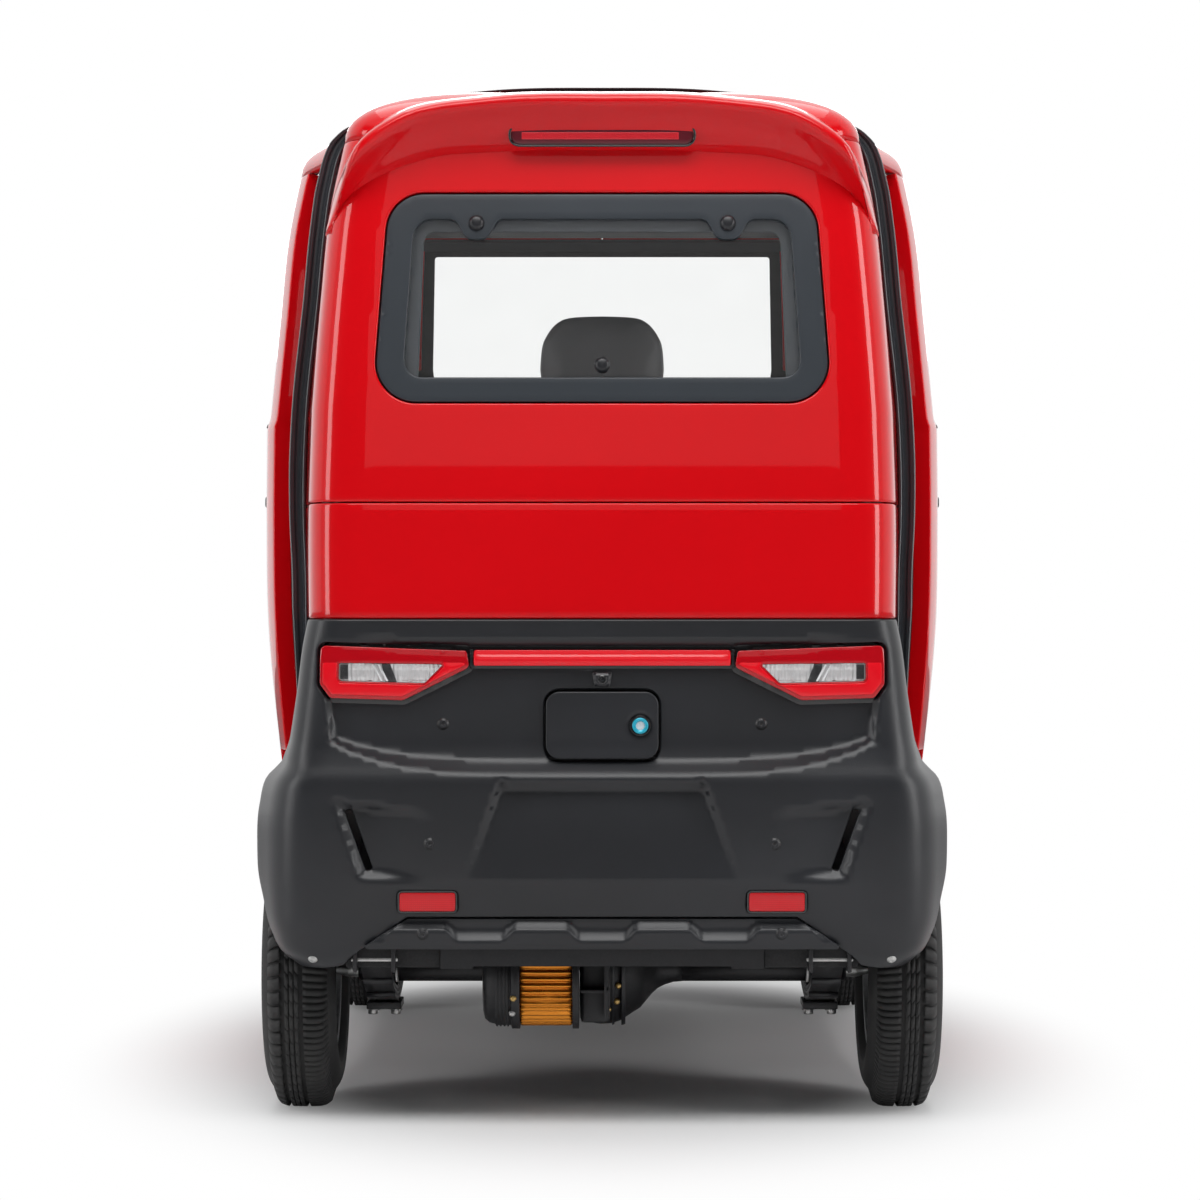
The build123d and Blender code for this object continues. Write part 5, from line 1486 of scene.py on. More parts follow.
def rail_section(height):
    """The rail's closed section as (outward, y): a root, a back with two ribs and a rounded outer edge."""
    share = np.linspace(0.0, 1.0, 30)
    inner_rib = np.clip(np.cos((share - 0.40) / 0.34 * pi), 0, 1) ** 0.5
    outer_rib = np.clip(np.cos((share - 0.86) / 0.26 * pi), 0, 1) ** 0.6
    rear = np.stack([-0.010 + share * (height + 0.010), -0.8600 - 0.0055 * inner_rib - 0.0062 * outer_rib], 1)
    edge = np.array([(height + 0.0006, -0.8590), (height + 0.0008, -0.8520), (height + 0.0003, -0.8440),
                     (height - 0.0008, -0.8395)])
    return np.concatenate([rear, edge, [(-0.010, -0.8385)]])


path = smooth_path(whole_arch(RAIL_INNER), RAIL_RINGS)
ahead = np.gradient(path, axis=0)
run = np.concatenate([[0], np.cumsum(np.linalg.norm(np.diff(path, axis=0), axis=1))])
from_foot = np.minimum(run, run[-1] - run)
heights = np.interp(from_foot, *zip(*RAIL_HEIGHT))
ahead /= np.linalg.norm(ahead, axis=1)[:, None]
rings = []
for (x, z), (dx, dz), height in zip(path, ahead, heights):
    rings.append(np.array([(x + dz * out, y, z - dx * out) for out, y in rail_section(height)]))
piece("ribbed_rail", *skinned(rings), "body", "rail_rubber", rail_black, ("drip_rail",))

# %% [markdown]
# Each tyre is a turned carcass with its tread laid on as separate blocks. One pitch of tread is modelled as
# six bevelled blocks at the top of the wheel, and Geometry Nodes repeat it all the way round.

# %% Tyre carcass
TYRE_R, TREAD_DEPTH = 0.2215, 0.0060
HALF_TRACK = 0.479
PITCHES = 60


def carcass_profile():
    """The tyre's section as (x, radius), from bead to bead round the tread's floor, and back inside."""
    floor = TYRE_R - TREAD_DEPTH
    right = [(0.0, floor), (0.020, floor - 0.0012), (0.0355, floor - 0.0065), (0.0445, floor - 0.0180),
             (0.0520, 0.1880), (0.0575, 0.1760), (0.0590, 0.1680), (0.0585, 0.1620), (0.0572, 0.1560),
             (0.0578, 0.1540), (0.0545, 0.1470), (0.0490, 0.1400), (0.0450, 0.1360), (0.0425, 0.1340)]
    outer = smooth_path(right, 44)
    left = (outer * [-1, 1])[:0:-1]
    back = [(0.0420, 0.1245), (-0.0420, 0.1245)]
    return np.concatenate([left, outer, back])


def tread_height(x):
    """Radius of the tread's top at x, a crown with soft shoulders."""
    away = np.abs(x)
    return (TYRE_R - 0.0008 * (x / 0.030) ** 2 - 0.0060 * smooth(away, 0.024, 0.050)
            - 0.055 * smooth(away, 0.038, 0.064))


def tread_block(x0, x1, a0, a1, skew=0.0, steps=5, bevel=0.0012):
    """One raised block between two x and two angles, with bevelled edges; skew shears it round the wheel."""
    xs, points, faces = np.linspace(x0, x1, steps), [], []
    inset = bevel / TYRE_R
    for low in (True, False):
        for side in (0, 1):
            for k, x in enumerate(xs):
                slip = skew * (x - x0) / (x1 - x0)
                angle = (a0 if side == 0 else a1) + slip
                edge = x
                top = tread_height(np.array(x)).item()
                radius = top - TREAD_DEPTH - 0.004 if low else top
                if not low:
                    angle += inset if side == 0 else -inset
                    edge += bevel if k == 0 else -bevel if k == steps - 1 else 0.0
                points.append((edge, radius * sin(angle), radius * cos(angle)))
    n = steps
    for k in range(n - 1):
        faces.append((2 * n + k, 2 * n + k + 1, 3 * n + k + 1, 3 * n + k))
        faces.append((k, k + 1, 2 * n + k + 1, 2 * n + k))
        faces.append((n + k + 1, n + k, 3 * n + k, 3 * n + k + 1))
    faces.append((n, 0, 2 * n, 3 * n))
    faces.append((n - 1, 2 * n - 1, 4 * n - 1, 3 * n - 1))
    return points, faces


def tread_pitch():
    """A pitch of tread: two wide inner blocks, three thin ribs beside the middle, and an outer block."""
    pitch = 2 * pi / PITCHES
    blocks = [tread_block(-0.0490, -0.0090, 0.012 * pitch, 0.40 * pitch, 0.10 * pitch, 6),
              tread_block(-0.0490, -0.0090, 0.47 * pitch, 0.93 * pitch, 0.10 * pitch, 6)]
    for x0, x1 in ((-0.0030, 0.0040), (0.0048, 0.0118), (0.0126, 0.0195)):
        blocks.append(tread_block(x0, x1, 0.0, 0.97 * pitch, 0.30 * pitch, 3, 0.0006))
    blocks.append(tread_block(0.0255, 0.0500, 0.03 * pitch, 0.86 * pitch, -0.30 * pitch, 7))
    return hidden_part("tread_pitch", *solid_of(*joined(*blocks)))


TREAD = {1: tread_pitch()}
TREAD[-1] = hidden_part("tread_pitch_mirrored", [(-v.co.x, v.co.y, v.co.z) for v in TREAD[1].data.vertices],
                        [tuple(p.vertices)[::-1] for p in TREAD[1].data.polygons])
NUT_RING_R, NUT_COUNT = 0.050, 4
NUT = round_part("lug_nut", [(-0.002, 0.0), (-0.002, 0.0105), (0.003, 0.0105), (0.004, 0.0082),
                             (0.012, 0.0078), (0.0135, 0.0045), (0.0135, 0.0)], 0.0008, steps=6)
cap_profile = rounded_profile([(0.038, 0.0), (0.038, 0.0240), (0.052, 0.0225), (0.056, 0.0180),
                               (0.0575, 0.0)], 0.003)
for end, axle_y in (("rear", REAR_AXLE_Y), ("front", FRONT_AXLE_Y)):
    for side, hand in ((1, "right"), (-1, "left")):
        body = f"{end}_{hand}_wheel"
        centre = np.array([side * HALF_TRACK, axle_y, AXLE_Z])
        turned(f"{end}_tyre_{hand}_carcass", carcass_profile() * [side, 1], "x", centre, body, "tyre_rubber",
               tyre_rubber, (f"{end}_tyre_{hand}",), 120)
        angles = (np.arange(PITCHES) + 0.5) * 2 * pi / PITCHES
        spokes = np.stack([0 * angles, np.sin(angles), np.cos(angles)], 1)
        repeated(f"{end}_tread_{hand}", TREAD[side], np.repeat(centre[None], PITCHES, 0), spokes, body,
                 tyre_rubber)
        turned(f"{end}_hub_cap_{hand}", [(side * x, r) for x, r in cap_profile], "x", centre, body,
               "wheel_alloy", black_plastic, steps=40)
        turns = np.arange(NUT_COUNT) * 2 * pi / NUT_COUNT + pi / 4
        seats = centre + np.stack([np.full(NUT_COUNT, side * 0.026), NUT_RING_R * np.cos(turns),
                                   NUT_RING_R * np.sin(turns)], 1)
        repeated(f"{end}_lug_nuts_{hand}", NUT, seats, np.repeat([[side, 0, 0]], NUT_COUNT, 0), body,
                 steel)

# %% [markdown]
# The drive hangs behind the axle: a black end cap, an anodised stator with fins along it, a flange, and the
# gear case whose flare runs out to the axle tube. All are turned forms; plates, shelves and screws sit on
# them.

# %% Motor and differential
MOTOR_Y, MOTOR_Z = -0.897, 0.218
MOTOR_R = 0.075


def block(x0, x1, y0, y1, z0, z1, bevel=0.002):
    """A box with bevelled edges, as points and faces."""
    mesh = bmesh.new()
    bmesh.ops.create_cube(mesh, size=1.0)
    for v in mesh.verts:
        v.co = Vector(((x0 + x1) / 2 + v.co.x * (x1 - x0), (y0 + y1) / 2 + v.co.y * (y1 - y0),
                       (z0 + z1) / 2 + v.co.z * (z1 - z0)))
    bmesh.ops.bevel(mesh, geom=list(mesh.edges), offset=bevel, segments=2, affect="EDGES", profile=0.6)
    bmesh.ops.recalc_face_normals(mesh, faces=mesh.faces)
    mesh.verts.index_update()
    result = [tuple(v.co) for v in mesh.verts], [[v.index for v in f.verts] for f in mesh.faces]
    mesh.free()
    return result


def ridged(start, end, radius, count, depth):
    """A profile that runs from start to end with square ridges, at about a radius."""
    edges = np.linspace(start, end, 4 * count + 1)
    return [(x, radius - (depth if k % 4 in (2, 3) else 0.0)) for k, x in enumerate(edges)]


def finned_stator(x0, x1, radius, fins=44, depth=0.0045):
    """A cylinder along X with radial fins, closed at its ends."""
    angle = np.linspace(0, 2 * pi, fins * 6, endpoint=False)
    wave = (angle * fins / (2 * pi)) % 1.0
    shape = radius - depth * smooth(np.abs(wave - 0.5), 0.20, 0.32)
    rings = []
    for x, inset in ((x0, 0.002), (x0 + 0.002, 0.0), (x1 - 0.002, 0.0), (x1, 0.002)):
        rings.append(np.stack([np.full(len(angle), x), MOTOR_Y + (shape - inset) * np.cos(angle),
                               MOTOR_Z + (shape - inset) * np.sin(angle)], 1))
    return skinned(rings)


motor_centre = (0.0, MOTOR_Y, MOTOR_Z)
cap = [(-0.1890, 0.0), (-0.1890, 0.052), (-0.1860, 0.064), (-0.1790, 0.070), (-0.1700, 0.0725)]
cap += ridged(-0.1680, -0.1440, 0.0765, 4, 0.0022)
cap += [(-0.1430, 0.0800), (-0.1310, 0.0800), (-0.1300, 0.0785), (-0.1300, 0.0)]
turned("motor_end_cap", cap, "x", motor_centre, "body", "black_steel", cast_black, ("drive_motor",), 72)
piece("motor_stator_fins", *finned_stator(-0.1295, -0.0475, MOTOR_R), "body", "orange_stator", anodised,
      ("motor_stator",))
flange = rounded_profile([(-0.0470, 0.0), (-0.0470, 0.0800), (-0.0365, 0.0800), (-0.0365, 0.0)], 0.0015)
turned("motor_flange", flange, "x", motor_centre, "body", "black_steel", cast_black, (), 72)
CASE = [(-0.036, 0.0), (-0.036, 0.0790), (-0.030, 0.0850), (-0.003, 0.0890), (0.015, 0.0880), (0.029, 0.0836),
        (0.037, 0.0787), (0.050, 0.0700), (0.062, 0.0625), (0.070, 0.0527), (0.081, 0.0397), (0.090, 0.0315),
        (0.102, 0.0255), (0.115, 0.0215), (0.130, 0.0203), (0.130, 0.0)]
axle_line = (0.0, REAR_AXLE_Y, AXLE_Z)
turned("gear_case", CASE, "x", axle_line, "body", "black_steel", cast_black, (), 72)
case_ribs = []
for x0, x1 in ((0.016, 0.020), (0.031, 0.0375)):
    rib = rounded_profile([(x0, 0.050), (x0, 0.0915), (x1, 0.0895), (x1, 0.050)], 0.001)
    case_ribs.append(solid_of(*lathe(rib, "x", axle_line, 72)))
piece("gear_case_ribs", *joined(*case_ribs), "body", "black_steel", charcoal_smooth)
piece("gear_case_shelf", *joined(block(-0.034, 0.010, MOTOR_Y - 0.070, MOTOR_Y + 0.05, 0.2010, 0.2065,
                                       0.0012),
                                 block(0.0030, 0.0070, MOTOR_Y - 0.078, MOTOR_Y + 0.05, 0.160, 0.262, 0.0008),
                                 block(-0.034, 0.012, MOTOR_Y - 0.030, REAR_AXLE_Y, 0.150, 0.285, 0.006)),
      "body", "black_steel", cast_black)
terminal = round_part("terminal", [(-0.003, 0.0), (-0.003, 0.0038), (0.008, 0.0038), (0.008, 0.0)], 0.0008)
lugs = np.array([(-0.099, MOTOR_Y - 0.040, 0.289), (-0.072, MOTOR_Y - 0.040, 0.285)])
repeated("motor_terminals", terminal, lugs, np.array([(0, 0, 1.0)] * 2), "body", brass)
piece("terminal_block", *block(-0.124, -0.050, MOTOR_Y - 0.050, MOTOR_Y + 0.03, 0.268, 0.284, 0.003), "body",
      "black_steel", cast_black)

# %% Axle, with its bright stub shafts
axle = [(-0.395, 0.0), (-0.395, 0.0165), (-0.390, 0.0200), (-0.120, 0.0200), (-0.110, 0.0230),
        (-0.040, 0.0230), (-0.036, 0.0)]
right_axle = [(0.118, 0.0), (0.118, 0.0200), (0.390, 0.0200), (0.395, 0.0165), (0.395, 0.0)]
piece("axle_tubes", *joined(solid_of(*lathe(axle, "x", axle_line)),
                            solid_of(*lathe(right_axle, "x", axle_line))),
      "body", "black_steel", cast_black, ("rear_axle",))
stub = rounded_profile([(0.392, 0.0), (0.392, 0.0130), (0.412, 0.0130), (0.422, 0.0100), (0.436, 0.0082),
                        (0.520, 0.0082), (0.520, 0.0)], 0.0012)
piece("stub_shafts",
      *joined(*[solid_of(*lathe([(s * x, r) for x, r in stub], "x", axle_line)) for s in (1, -1)]),
      "body", "black_steel", steel)

# %% [markdown]
# Each leaf spring is a pack of curved leaves between two hangers. It is clamped to the axle by a plate with
# two U-bolts, whose nuts show underneath.

# %% Leaf springs
SPRING_X, LEAF_W = 0.352, 0.046
SPRING_REACH, SPRING_RISE = 0.285, 0.070


def leaf_shape(half, base_z, thick, x, width):
    """One leaf as a bent strip: flat at the axle, rising to both ends."""
    ys = np.linspace(-half, half, 25)
    rise = base_z + SPRING_RISE * (np.abs(ys) / SPRING_REACH) ** 1.9
    rings = []
    for y, z in zip(ys, rise):
        rings.append(np.array([(x + side * width / 2, REAR_AXLE_Y + y, z + up)
                               for side, up in ((-1, 0), (1, 0), (1, thick), (-1, thick))]))
    return skinned(rings)


def u_bolt(x, y, radius=0.0045):
    """A U-bolt over the axle tube: an arch of round bar with both legs down to the plate."""
    arc = np.linspace(0, pi, 13)
    spots = [(x, y - 0.0265, 0.158)] + [(x, y - 0.0265 * cos(a), 0.2215 + 0.0265 * sin(a)) for a in arc]
    spots.append((x, y + 0.0265, 0.158))
    spots = np.array(spots)
    ahead = np.gradient(spots, axis=0)
    ahead /= np.linalg.norm(ahead, axis=1)[:, None]
    rings = []
    for spot, way in zip(spots, ahead):
        across = np.array([1.0, 0.0, 0.0])
        other = np.cross(way, across)
        turn = np.arange(10) * 2 * pi / 10
        rings.append(spot + radius * (np.cos(turn)[:, None] * across + np.sin(turn)[:, None] * other))
    return skinned(rings)


hex_nut = lathe_part("hex_nut", [(-0.006, 0.0), (-0.006, 0.0068), (-0.005, 0.0078), (0.004, 0.0078),
                                 (0.005, 0.0068), (0.005, 0.0)], 6)
for side, hand in ((1, "right"), (-1, "left")):
    x = side * SPRING_X
    leaves = [leaf_shape(SPRING_REACH * share, 0.190 - 0.0078 * k, 0.0070, x, LEAF_W)
              for k, share in enumerate((1.0, 0.72, 0.46))]
    piece(f"leaf_pack_{hand}", *joined(*leaves), "body", "black_steel", cast_black,
          ("leaf_springs",) if side > 0 else ())
    y0, y1 = REAR_AXLE_Y - 0.042, REAR_AXLE_Y + 0.042
    parts = [block(x - 0.028, x + 0.028, y0, y1, 0.160, 0.172),
             block(x - 0.023, x + 0.023, y0, y1, 0.1985, 0.2030)]
    for end_y in (-1, 1):
        hanger_y = REAR_AXLE_Y + end_y * SPRING_REACH
        parts += [block(x - 0.033, x - 0.0265, hanger_y - 0.018, hanger_y + 0.018, 0.245, 0.298, 0.0015),
                  block(x + 0.0265, x + 0.033, hanger_y - 0.018, hanger_y + 0.018, 0.245, 0.298, 0.0015),
                  block(min(side * 0.250, x), max(side * 0.250, x), hanger_y - 0.015, hanger_y + 0.015,
                        0.283, 0.297)]
    piece(f"spring_clamp_{hand}", *joined(*parts), "body", "black_steel", cast_black)
    eyes = []
    for end_y in (-1, 1):
        eye = rounded_profile([(-0.036, 0.0), (-0.036, 0.0075), (0.036, 0.0075), (0.036, 0.0)], 0.001)
        eyes.append(solid_of(*lathe(eye, "x", (x, REAR_AXLE_Y + end_y * SPRING_REACH, 0.2640), 20)))
    bolts = [u_bolt(x + dx, REAR_AXLE_Y) for dx in (-0.0185, 0.0185)]
    piece(f"u_bolts_{hand}", *joined(*bolts, *eyes), "body", "black_steel", steel)
    spots = [(x + dx, REAR_AXLE_Y + dy, 0.156) for dx in (-0.0185, 0.0185) for dy in (-0.0265, 0.0265)]
    repeated(f"clamp_nuts_{hand}", hex_nut, spots, [(0, 0, -1.0)] * 4, "body", steel)

# %% [markdown]
# Small screws hold the case and the cap. They share one domed head, in brass and in bright steel.

# %% Screws of the drive
screw_head = round_part("brass_head", [(-0.004, 0.0), (-0.004, 0.0055), (0.0008, 0.0055), (0.0030, 0.0038),
                                       (0.0036, 0.0)], 0.0006, steps=16)
BRASS_SPOTS = np.array([(-0.140, 0.194), (0.0262, 0.2030), (0.0235, 0.1765), (0.0100, 0.1630),
                        (-0.0205, 0.1660), (-0.0220, 0.2540)])
STEEL_SPOTS = np.array([(-0.158, 0.2525), (-0.1435, 0.2495), (0.0205, 0.2495), (-0.1420, 0.1690)])


def on_drive(spots):
    """Where screws meet the rear of the drive, at places (x, z) seen from behind."""
    x, z = spots.T
    on_case = x > -0.030
    centre_y = np.where(on_case, REAR_AXLE_Y, MOTOR_Y)
    centre_z = np.where(on_case, AXLE_Z, MOTOR_Z)
    radius = np.where(on_case, 0.0885, 0.0795)
    y = centre_y - np.sqrt(np.maximum(radius**2 - (z - centre_z) ** 2, 1e-6))
    return np.stack([x, y, z], 1)


for name, spots, finish in (("brass_screws", BRASS_SPOTS, brass), ("bright_screws", STEEL_SPOTS, steel)):
    backward = np.repeat([[0.0, -1.0, 0.0]], len(spots), 0)
    repeated(name, screw_head, on_drive(spots), backward, "body", finish)

# %% [markdown]
# A body side is a frame panel with the door's opening cut in it, and the door is a second panel inside that
# opening, on the same skin. Its window is a hole with a black rubber seal round tinted-clear glass.

# %% Doors and body sides
DOOR = [(DOOR_REAR_Y, 0.335), (DOOR_FRONT_Y, 0.335), (DOOR_FRONT_Y, 1.128), (0.275, 1.440), (0.215, 1.5185),
        (DOOR_REAR_Y, 1.5185)]
DOOR_RADII = [0.060, 0.060, 0.300, 0.300, 0.050, 0.060]
DOOR_GAP = 0.0055
WINDOW = [(-0.440, 1.168), (0.322, 1.168), (0.235, 1.420), (0.190, 1.478), (-0.440, 1.478)]
WINDOW_RADII = [0.045, 0.035, 0.200, 0.040, 0.055]
SIDE_THICK = 0.030
SCREEN_FOOT_X, SCREEN_TOP_X, SCREEN_FOOT_Z, SCREEN_TOP_Z = 0.378, 0.350, 0.985, 1.522
WINDSCREEN = outline([(-SCREEN_FOOT_X, SCREEN_FOOT_Z), (SCREEN_FOOT_X, SCREEN_FOOT_Z),
                      (SCREEN_TOP_X, SCREEN_TOP_Z), (-SCREEN_TOP_X, SCREEN_TOP_Z)],
                      [0.055, 0.055, 0.032, 0.032])
SILL_Z, QUARTER_FOOT_Z, SIDE_TOP_Z = 0.300, 0.568, 1.534
door_loop, window_hole = outline(DOOR, DOOR_RADII, 0.009), outline(WINDOW, WINDOW_RADII, 0.008)


def side_edge():
    """The body side's outline in (t, z): along the sill, up the post and windscreen, and back by the roof."""
    post_z = np.linspace(SILL_Z, BELT_Z - 0.004, 40)
    post_t = found(side_skin, 1, POST_Y, post_z, 0.2, 0.9)
    rise = np.linspace(BELT_Z + 0.006, 1.520, 40)
    climb = (rise - SCREEN_FOOT_Z) / (SCREEN_TOP_Z - SCREEN_FOOT_Z)
    glass_t = found(side_skin, 0, SCREEN_FOOT_X + (SCREEN_TOP_X - SCREEN_FOOT_X) * climb, rise, 0.3, 1.3)
    head_t = found(side_skin, 0, np.array([0.0005]), np.array([SIDE_TOP_Z]), 0.3, 2.2)[0]
    sill = dense_path([(DOOR_REAR_Y - 0.014, SILL_Z), (post_t[0], SILL_Z)])
    post = np.stack([post_t, post_z], 1)
    pillar = np.stack([glass_t, rise], 1)
    head = dense_path([(glass_t[-1], SCREEN_TOP_Z), (head_t, SCREEN_TOP_Z), (head_t, SIDE_TOP_Z)])
    zs = np.linspace(SIDE_TOP_Z, QUARTER_FOOT_Z, 90)
    back_t = found(side_skin, 1, RAIL_Y + RAIL_HALF + 0.001, zs, -0.60, 0.0)
    top = dense_path([(head_t, SIDE_TOP_Z), (back_t[0], SIDE_TOP_Z)])
    back = np.stack([back_t, zs], 1)
    foot = dense_path([(back_t[-1], QUARTER_FOOT_Z), (DOOR_REAR_Y - 0.014, QUARTER_FOOT_Z),
                       (DOOR_REAR_Y - 0.014, SILL_Z)])
    return np.concatenate([sill[:-1], post, pillar, head[1:-1], top[:-1], back[:-1], foot[:-1]])


def door_relief(spots):
    """A long shallow hollow low in the door, and a cup behind the handle."""
    t, z = spots.T
    low = np.array([(-0.440, 0.430), (0.340, 0.430), (0.300, 0.640), (-0.400, 0.700)])
    hollow = 0.010 * ramp(depth_in(low, spots), 0.060)
    cup = 0.012 * (1 - smooth(np.hypot((t + 0.400) / 1.5, (z - 0.985)), 0.018, 0.034))
    return hollow + cup


side_loop = side_edge()
slider = rectangle(-0.085, -0.070, 1.180, 1.466, 0.002)
grip = rectangle(-0.470, -0.330, 0.9775, 0.9965, 0.008, 0.003)
lining = rectangle(-0.480, 0.375, 0.360, 1.140, 0.050)
strip = rectangle(-0.500, 0.392, 1.1120, 1.1180, 0.002, 0.004)
handle_post = round_part("handle_post", [(-0.004, 0.0), (-0.004, 0.007), (0.002, 0.006), (0.002, 0.0)], 0.001,
                         steps=20)
indicator = round_part("side_indicator_part", [(-0.003, 0.0), (-0.003, 0.014), (0.004, 0.012), (0.007, 0.0)],
                       0.002, 4, 28)
amber_lens = material("amber_lens", hazed((0.85, 0.25, 0.02), 0.1), Coat_Weight=1.0, Coat_Roughness=0.03)
for hand, skin, flip in (("right", side_skin, 1), ("left", left_side_skin, -1)):

    def facing(loop):
        return loop if flip > 0 else mirrored_loop(loop)

    def hollowed(spots):
        return door_relief(spots * [flip, 1])

    def sheet(name, depth, loop, body, slot, finish, spacing, roll, thick, holes=(), stands_for=()):
        """A plain panel of this side of the car, at its depth below the skin."""
        panel(f"{name}_{hand}", sunk_skin(skin, depth), facing(loop), body, slot, finish,
              [facing(hole) for hole in holes], spacing=spacing, roll=roll, thick=thick,
              stands_for=stands_for)

    panel(f"body_side_{hand}", skin, facing(side_loop), "body", "red_paint", red_paint,
          [facing(shrunk(door_loop, -DOOR_GAP))], spacing=0.014, roll=0.0025, thick=SIDE_THICK,
          stands_for=(f"side_frame_{hand}",))
    sheet("door_jamb", 0.020, shrunk(door_loop, -0.016), "body", "rail_rubber", seal_rubber, 0.012, 0.001,
          0.006, [shrunk(door_loop, 0.006)])
    body = f"{hand}_door"
    panel(f"door_skin_{hand}", skin, facing(door_loop), body, "red_paint", red_paint, [facing(window_hole)],
          relief=hollowed, spacing=0.012, roll=0.003, thick=0.016, stands_for=(f"door_{hand}",))
    sheet("door_seal", 0.0015, shrunk(window_hole, 0.0005), body, "rail_rubber", seal_rubber, 0.010, 0.0015,
          0.010, [shrunk(window_hole, 0.013)])
    sheet("door_pane", 0.007, shrunk(window_hole, 0.010), body, "clear_glass", clear_glass, 0.020, 0.0008,
          0.004, stands_for=(f"door_glass_{hand}",))
    sheet("window_slider", 0.0045, slider, body, "rail_rubber", seal_rubber, 0.010, 0.001, 0.010)
    sheet("door_handle", -0.0035, grip, body, "black_plastic", gloss_black, 0.006, 0.003, 0.009)
    seats, outward = on_skin(skin, np.array([(-0.457 * flip, 0.987), (-0.343 * flip, 0.987)]), 0.004)
    repeated(f"handle_posts_{hand}", handle_post, seats, outward, body, gloss_black)
    sheet("door_trim", 0.020, lining, body, "cabin_plastic", cabin_plastic, 0.025, 0.003, 0.012)
    sheet("belt_strip", -0.0012, strip, body, "rail_rubber", seal_rubber, 0.008, 0.001, 0.004)
    lamp_spot, lamp_way = on_skin(skin, np.array([(0.434 * flip, 0.905)]), 0.001)
    repeated(f"side_indicator_{hand}", indicator, lamp_spot, lamp_way, "body", amber_lens)

# %% [markdown]
# The front mirrors the tail's build: a red nose over a charcoal bumper with both fenders. The nose rises to
# the windscreen, carries two slanted headlamps, and the bumper has a slatted intake low in the middle.

# %% Nose panel
FRONT_ROWS = [
    (0.250, 0.430, 1.070, 0.490, 0.500),
    (0.272, 0.442, 1.090, 0.512, 0.518),
    (0.305, 0.452, 1.106, 0.530, 0.532),
    (0.360, 0.460, 1.120, 0.541, 0.541),
    (0.430, 0.464, 1.128, 0.545, 0.543),
    (0.500, 0.462, 1.130, 0.543, 0.541),
    (0.545, 0.452, 1.124, 0.533, 0.540),
    (0.562, 0.440, 1.112, 0.518, 0.538),
]
FRONT_MID_Y = 0.930
HEADLAMP = [(0.232, 0.655), (0.330, 0.640), (0.388, 0.690), (0.392, 0.752), (0.330, 0.762), (0.240, 0.722)]
front_skin = band_skin(FRONT_ROWS, FRONT_MID_Y, POST_Y + 0.002, 1)
headlamp = outline(HEADLAMP, 0.024)


def cast_nose(loop):
    """A loop seen from the front, cast onto the nose; its x runs the other way from the skin's t."""
    return anticlockwise(cast(nose_skin, 0, loop, -1.30, 1.30))


def nose_edge():
    """The nose's outline: along the bumper from post to post, up the posts and across at the belt line."""
    zs = np.linspace(0.566, BELT_Z - 0.001, 60)
    t = found(nose_skin, 1, POST_Y + 0.002, zs, 0.35, 1.30)
    right, left = np.stack([t, zs], 1), np.stack([-t, zs], 1)
    bottom = dense_path([(-t[0], 0.566), (t[0], 0.566)])
    top = dense_path([(t[-1], zs[-1]), (-t[-1], zs[-1])])
    return np.concatenate([bottom[:-1], right[:-1], top[:-1], left[::-1][:-1]])


def nose_relief(spots):
    """A crease over each lamp."""
    t, z = np.abs(spots[:, 0]), spots[:, 1]
    return 0.004 * smooth(z, 0.800, 0.812) * (1 - smooth(z, 0.812, 0.900)) * smooth(t, 0.06, 0.16)


lamp_cut = shrunk(headlamp, -0.002)
nose_headlamps = [cast_nose(lamp_cut), cast_nose(mirrored_loop(lamp_cut))]


def with_notch(loop, cut):
    """A loop whose top edge dips along the part of cut below it."""
    top = loop[:, 1].max()
    below = cut[cut[:, 1] < top - 1e-4]
    below = below[np.argsort(below[:, 0])[::-1]]
    keep = ~((np.abs(loop[:, 1] - top) < 1e-6) & (loop[:, 0] > below[-1, 0]) & (loop[:, 0] < below[0, 0]))
    start = int(np.argmax(keep & ~np.roll(keep, -1))) + 1
    rolled = np.roll(loop, -start, 0)[np.roll(keep, -start)]
    return np.concatenate([rolled, below])


panel("nose_skin_panel", nose_skin, with_notch(nose_edge(), cast_nose(WINDSCREEN)), "body", "red_paint",
      red_paint,
      nose_headlamps, relief=nose_relief, spacing=0.014, roll=0.003, thick=0.018, stands_for=("nose_panel",))

# %% Windscreen and its black border
def screen_skin(t, z):
    """The flat stretch of the front between the nose corners."""
    nose_y = hull_rows(z)[6]
    return np.stack([-t, nose_y, z], 1)


panel("windscreen_glass", sunk_skin(screen_skin, 0.006), shrunk(WINDSCREEN, 0.003), "body", "clear_glass",
      clear_glass, spacing=0.030, roll=0.001, thick=0.005, stands_for=("windscreen",))
panel("windscreen_border", sunk_skin(screen_skin, 0.0035), shrunk(WINDSCREEN, 0.001), "body", "rail_rubber",
      seal_rubber, [shrunk(WINDSCREEN, 0.026)], spacing=0.012, roll=0.001, thick=0.012)
wiper_pivot, wiper_way = on_skin(screen_skin, np.array([(0.10, 0.995)]), -0.010)
pivot = round_part("wiper_pivot_part", [(-0.020, 0.0), (-0.020, 0.011), (0.008, 0.010), (0.010, 0.0)], 0.002,
                   steps=20)
repeated("wiper_pivot", pivot, wiper_pivot, wiper_way, "body", black_plastic)
arm = outline([(0.100, 0.988), (0.102, 1.001), (-0.150, 1.066), (-0.154, 1.055)], 0.003, 0.006)
panel("wiper_arm", sunk_skin(screen_skin, -0.016), arm, "body", "black_plastic", black_plastic, spacing=0.008,
      roll=0.0012, thick=0.004)
blade = outline([(0.050, 1.008), (0.052, 1.018), (-0.318, 1.094), (-0.320, 1.084)], 0.003, 0.006)
panel("wiper_blade", sunk_skin(screen_skin, -0.009), blade, "body", "rail_rubber", seal_rubber, spacing=0.008,
      roll=0.0012, thick=0.007)
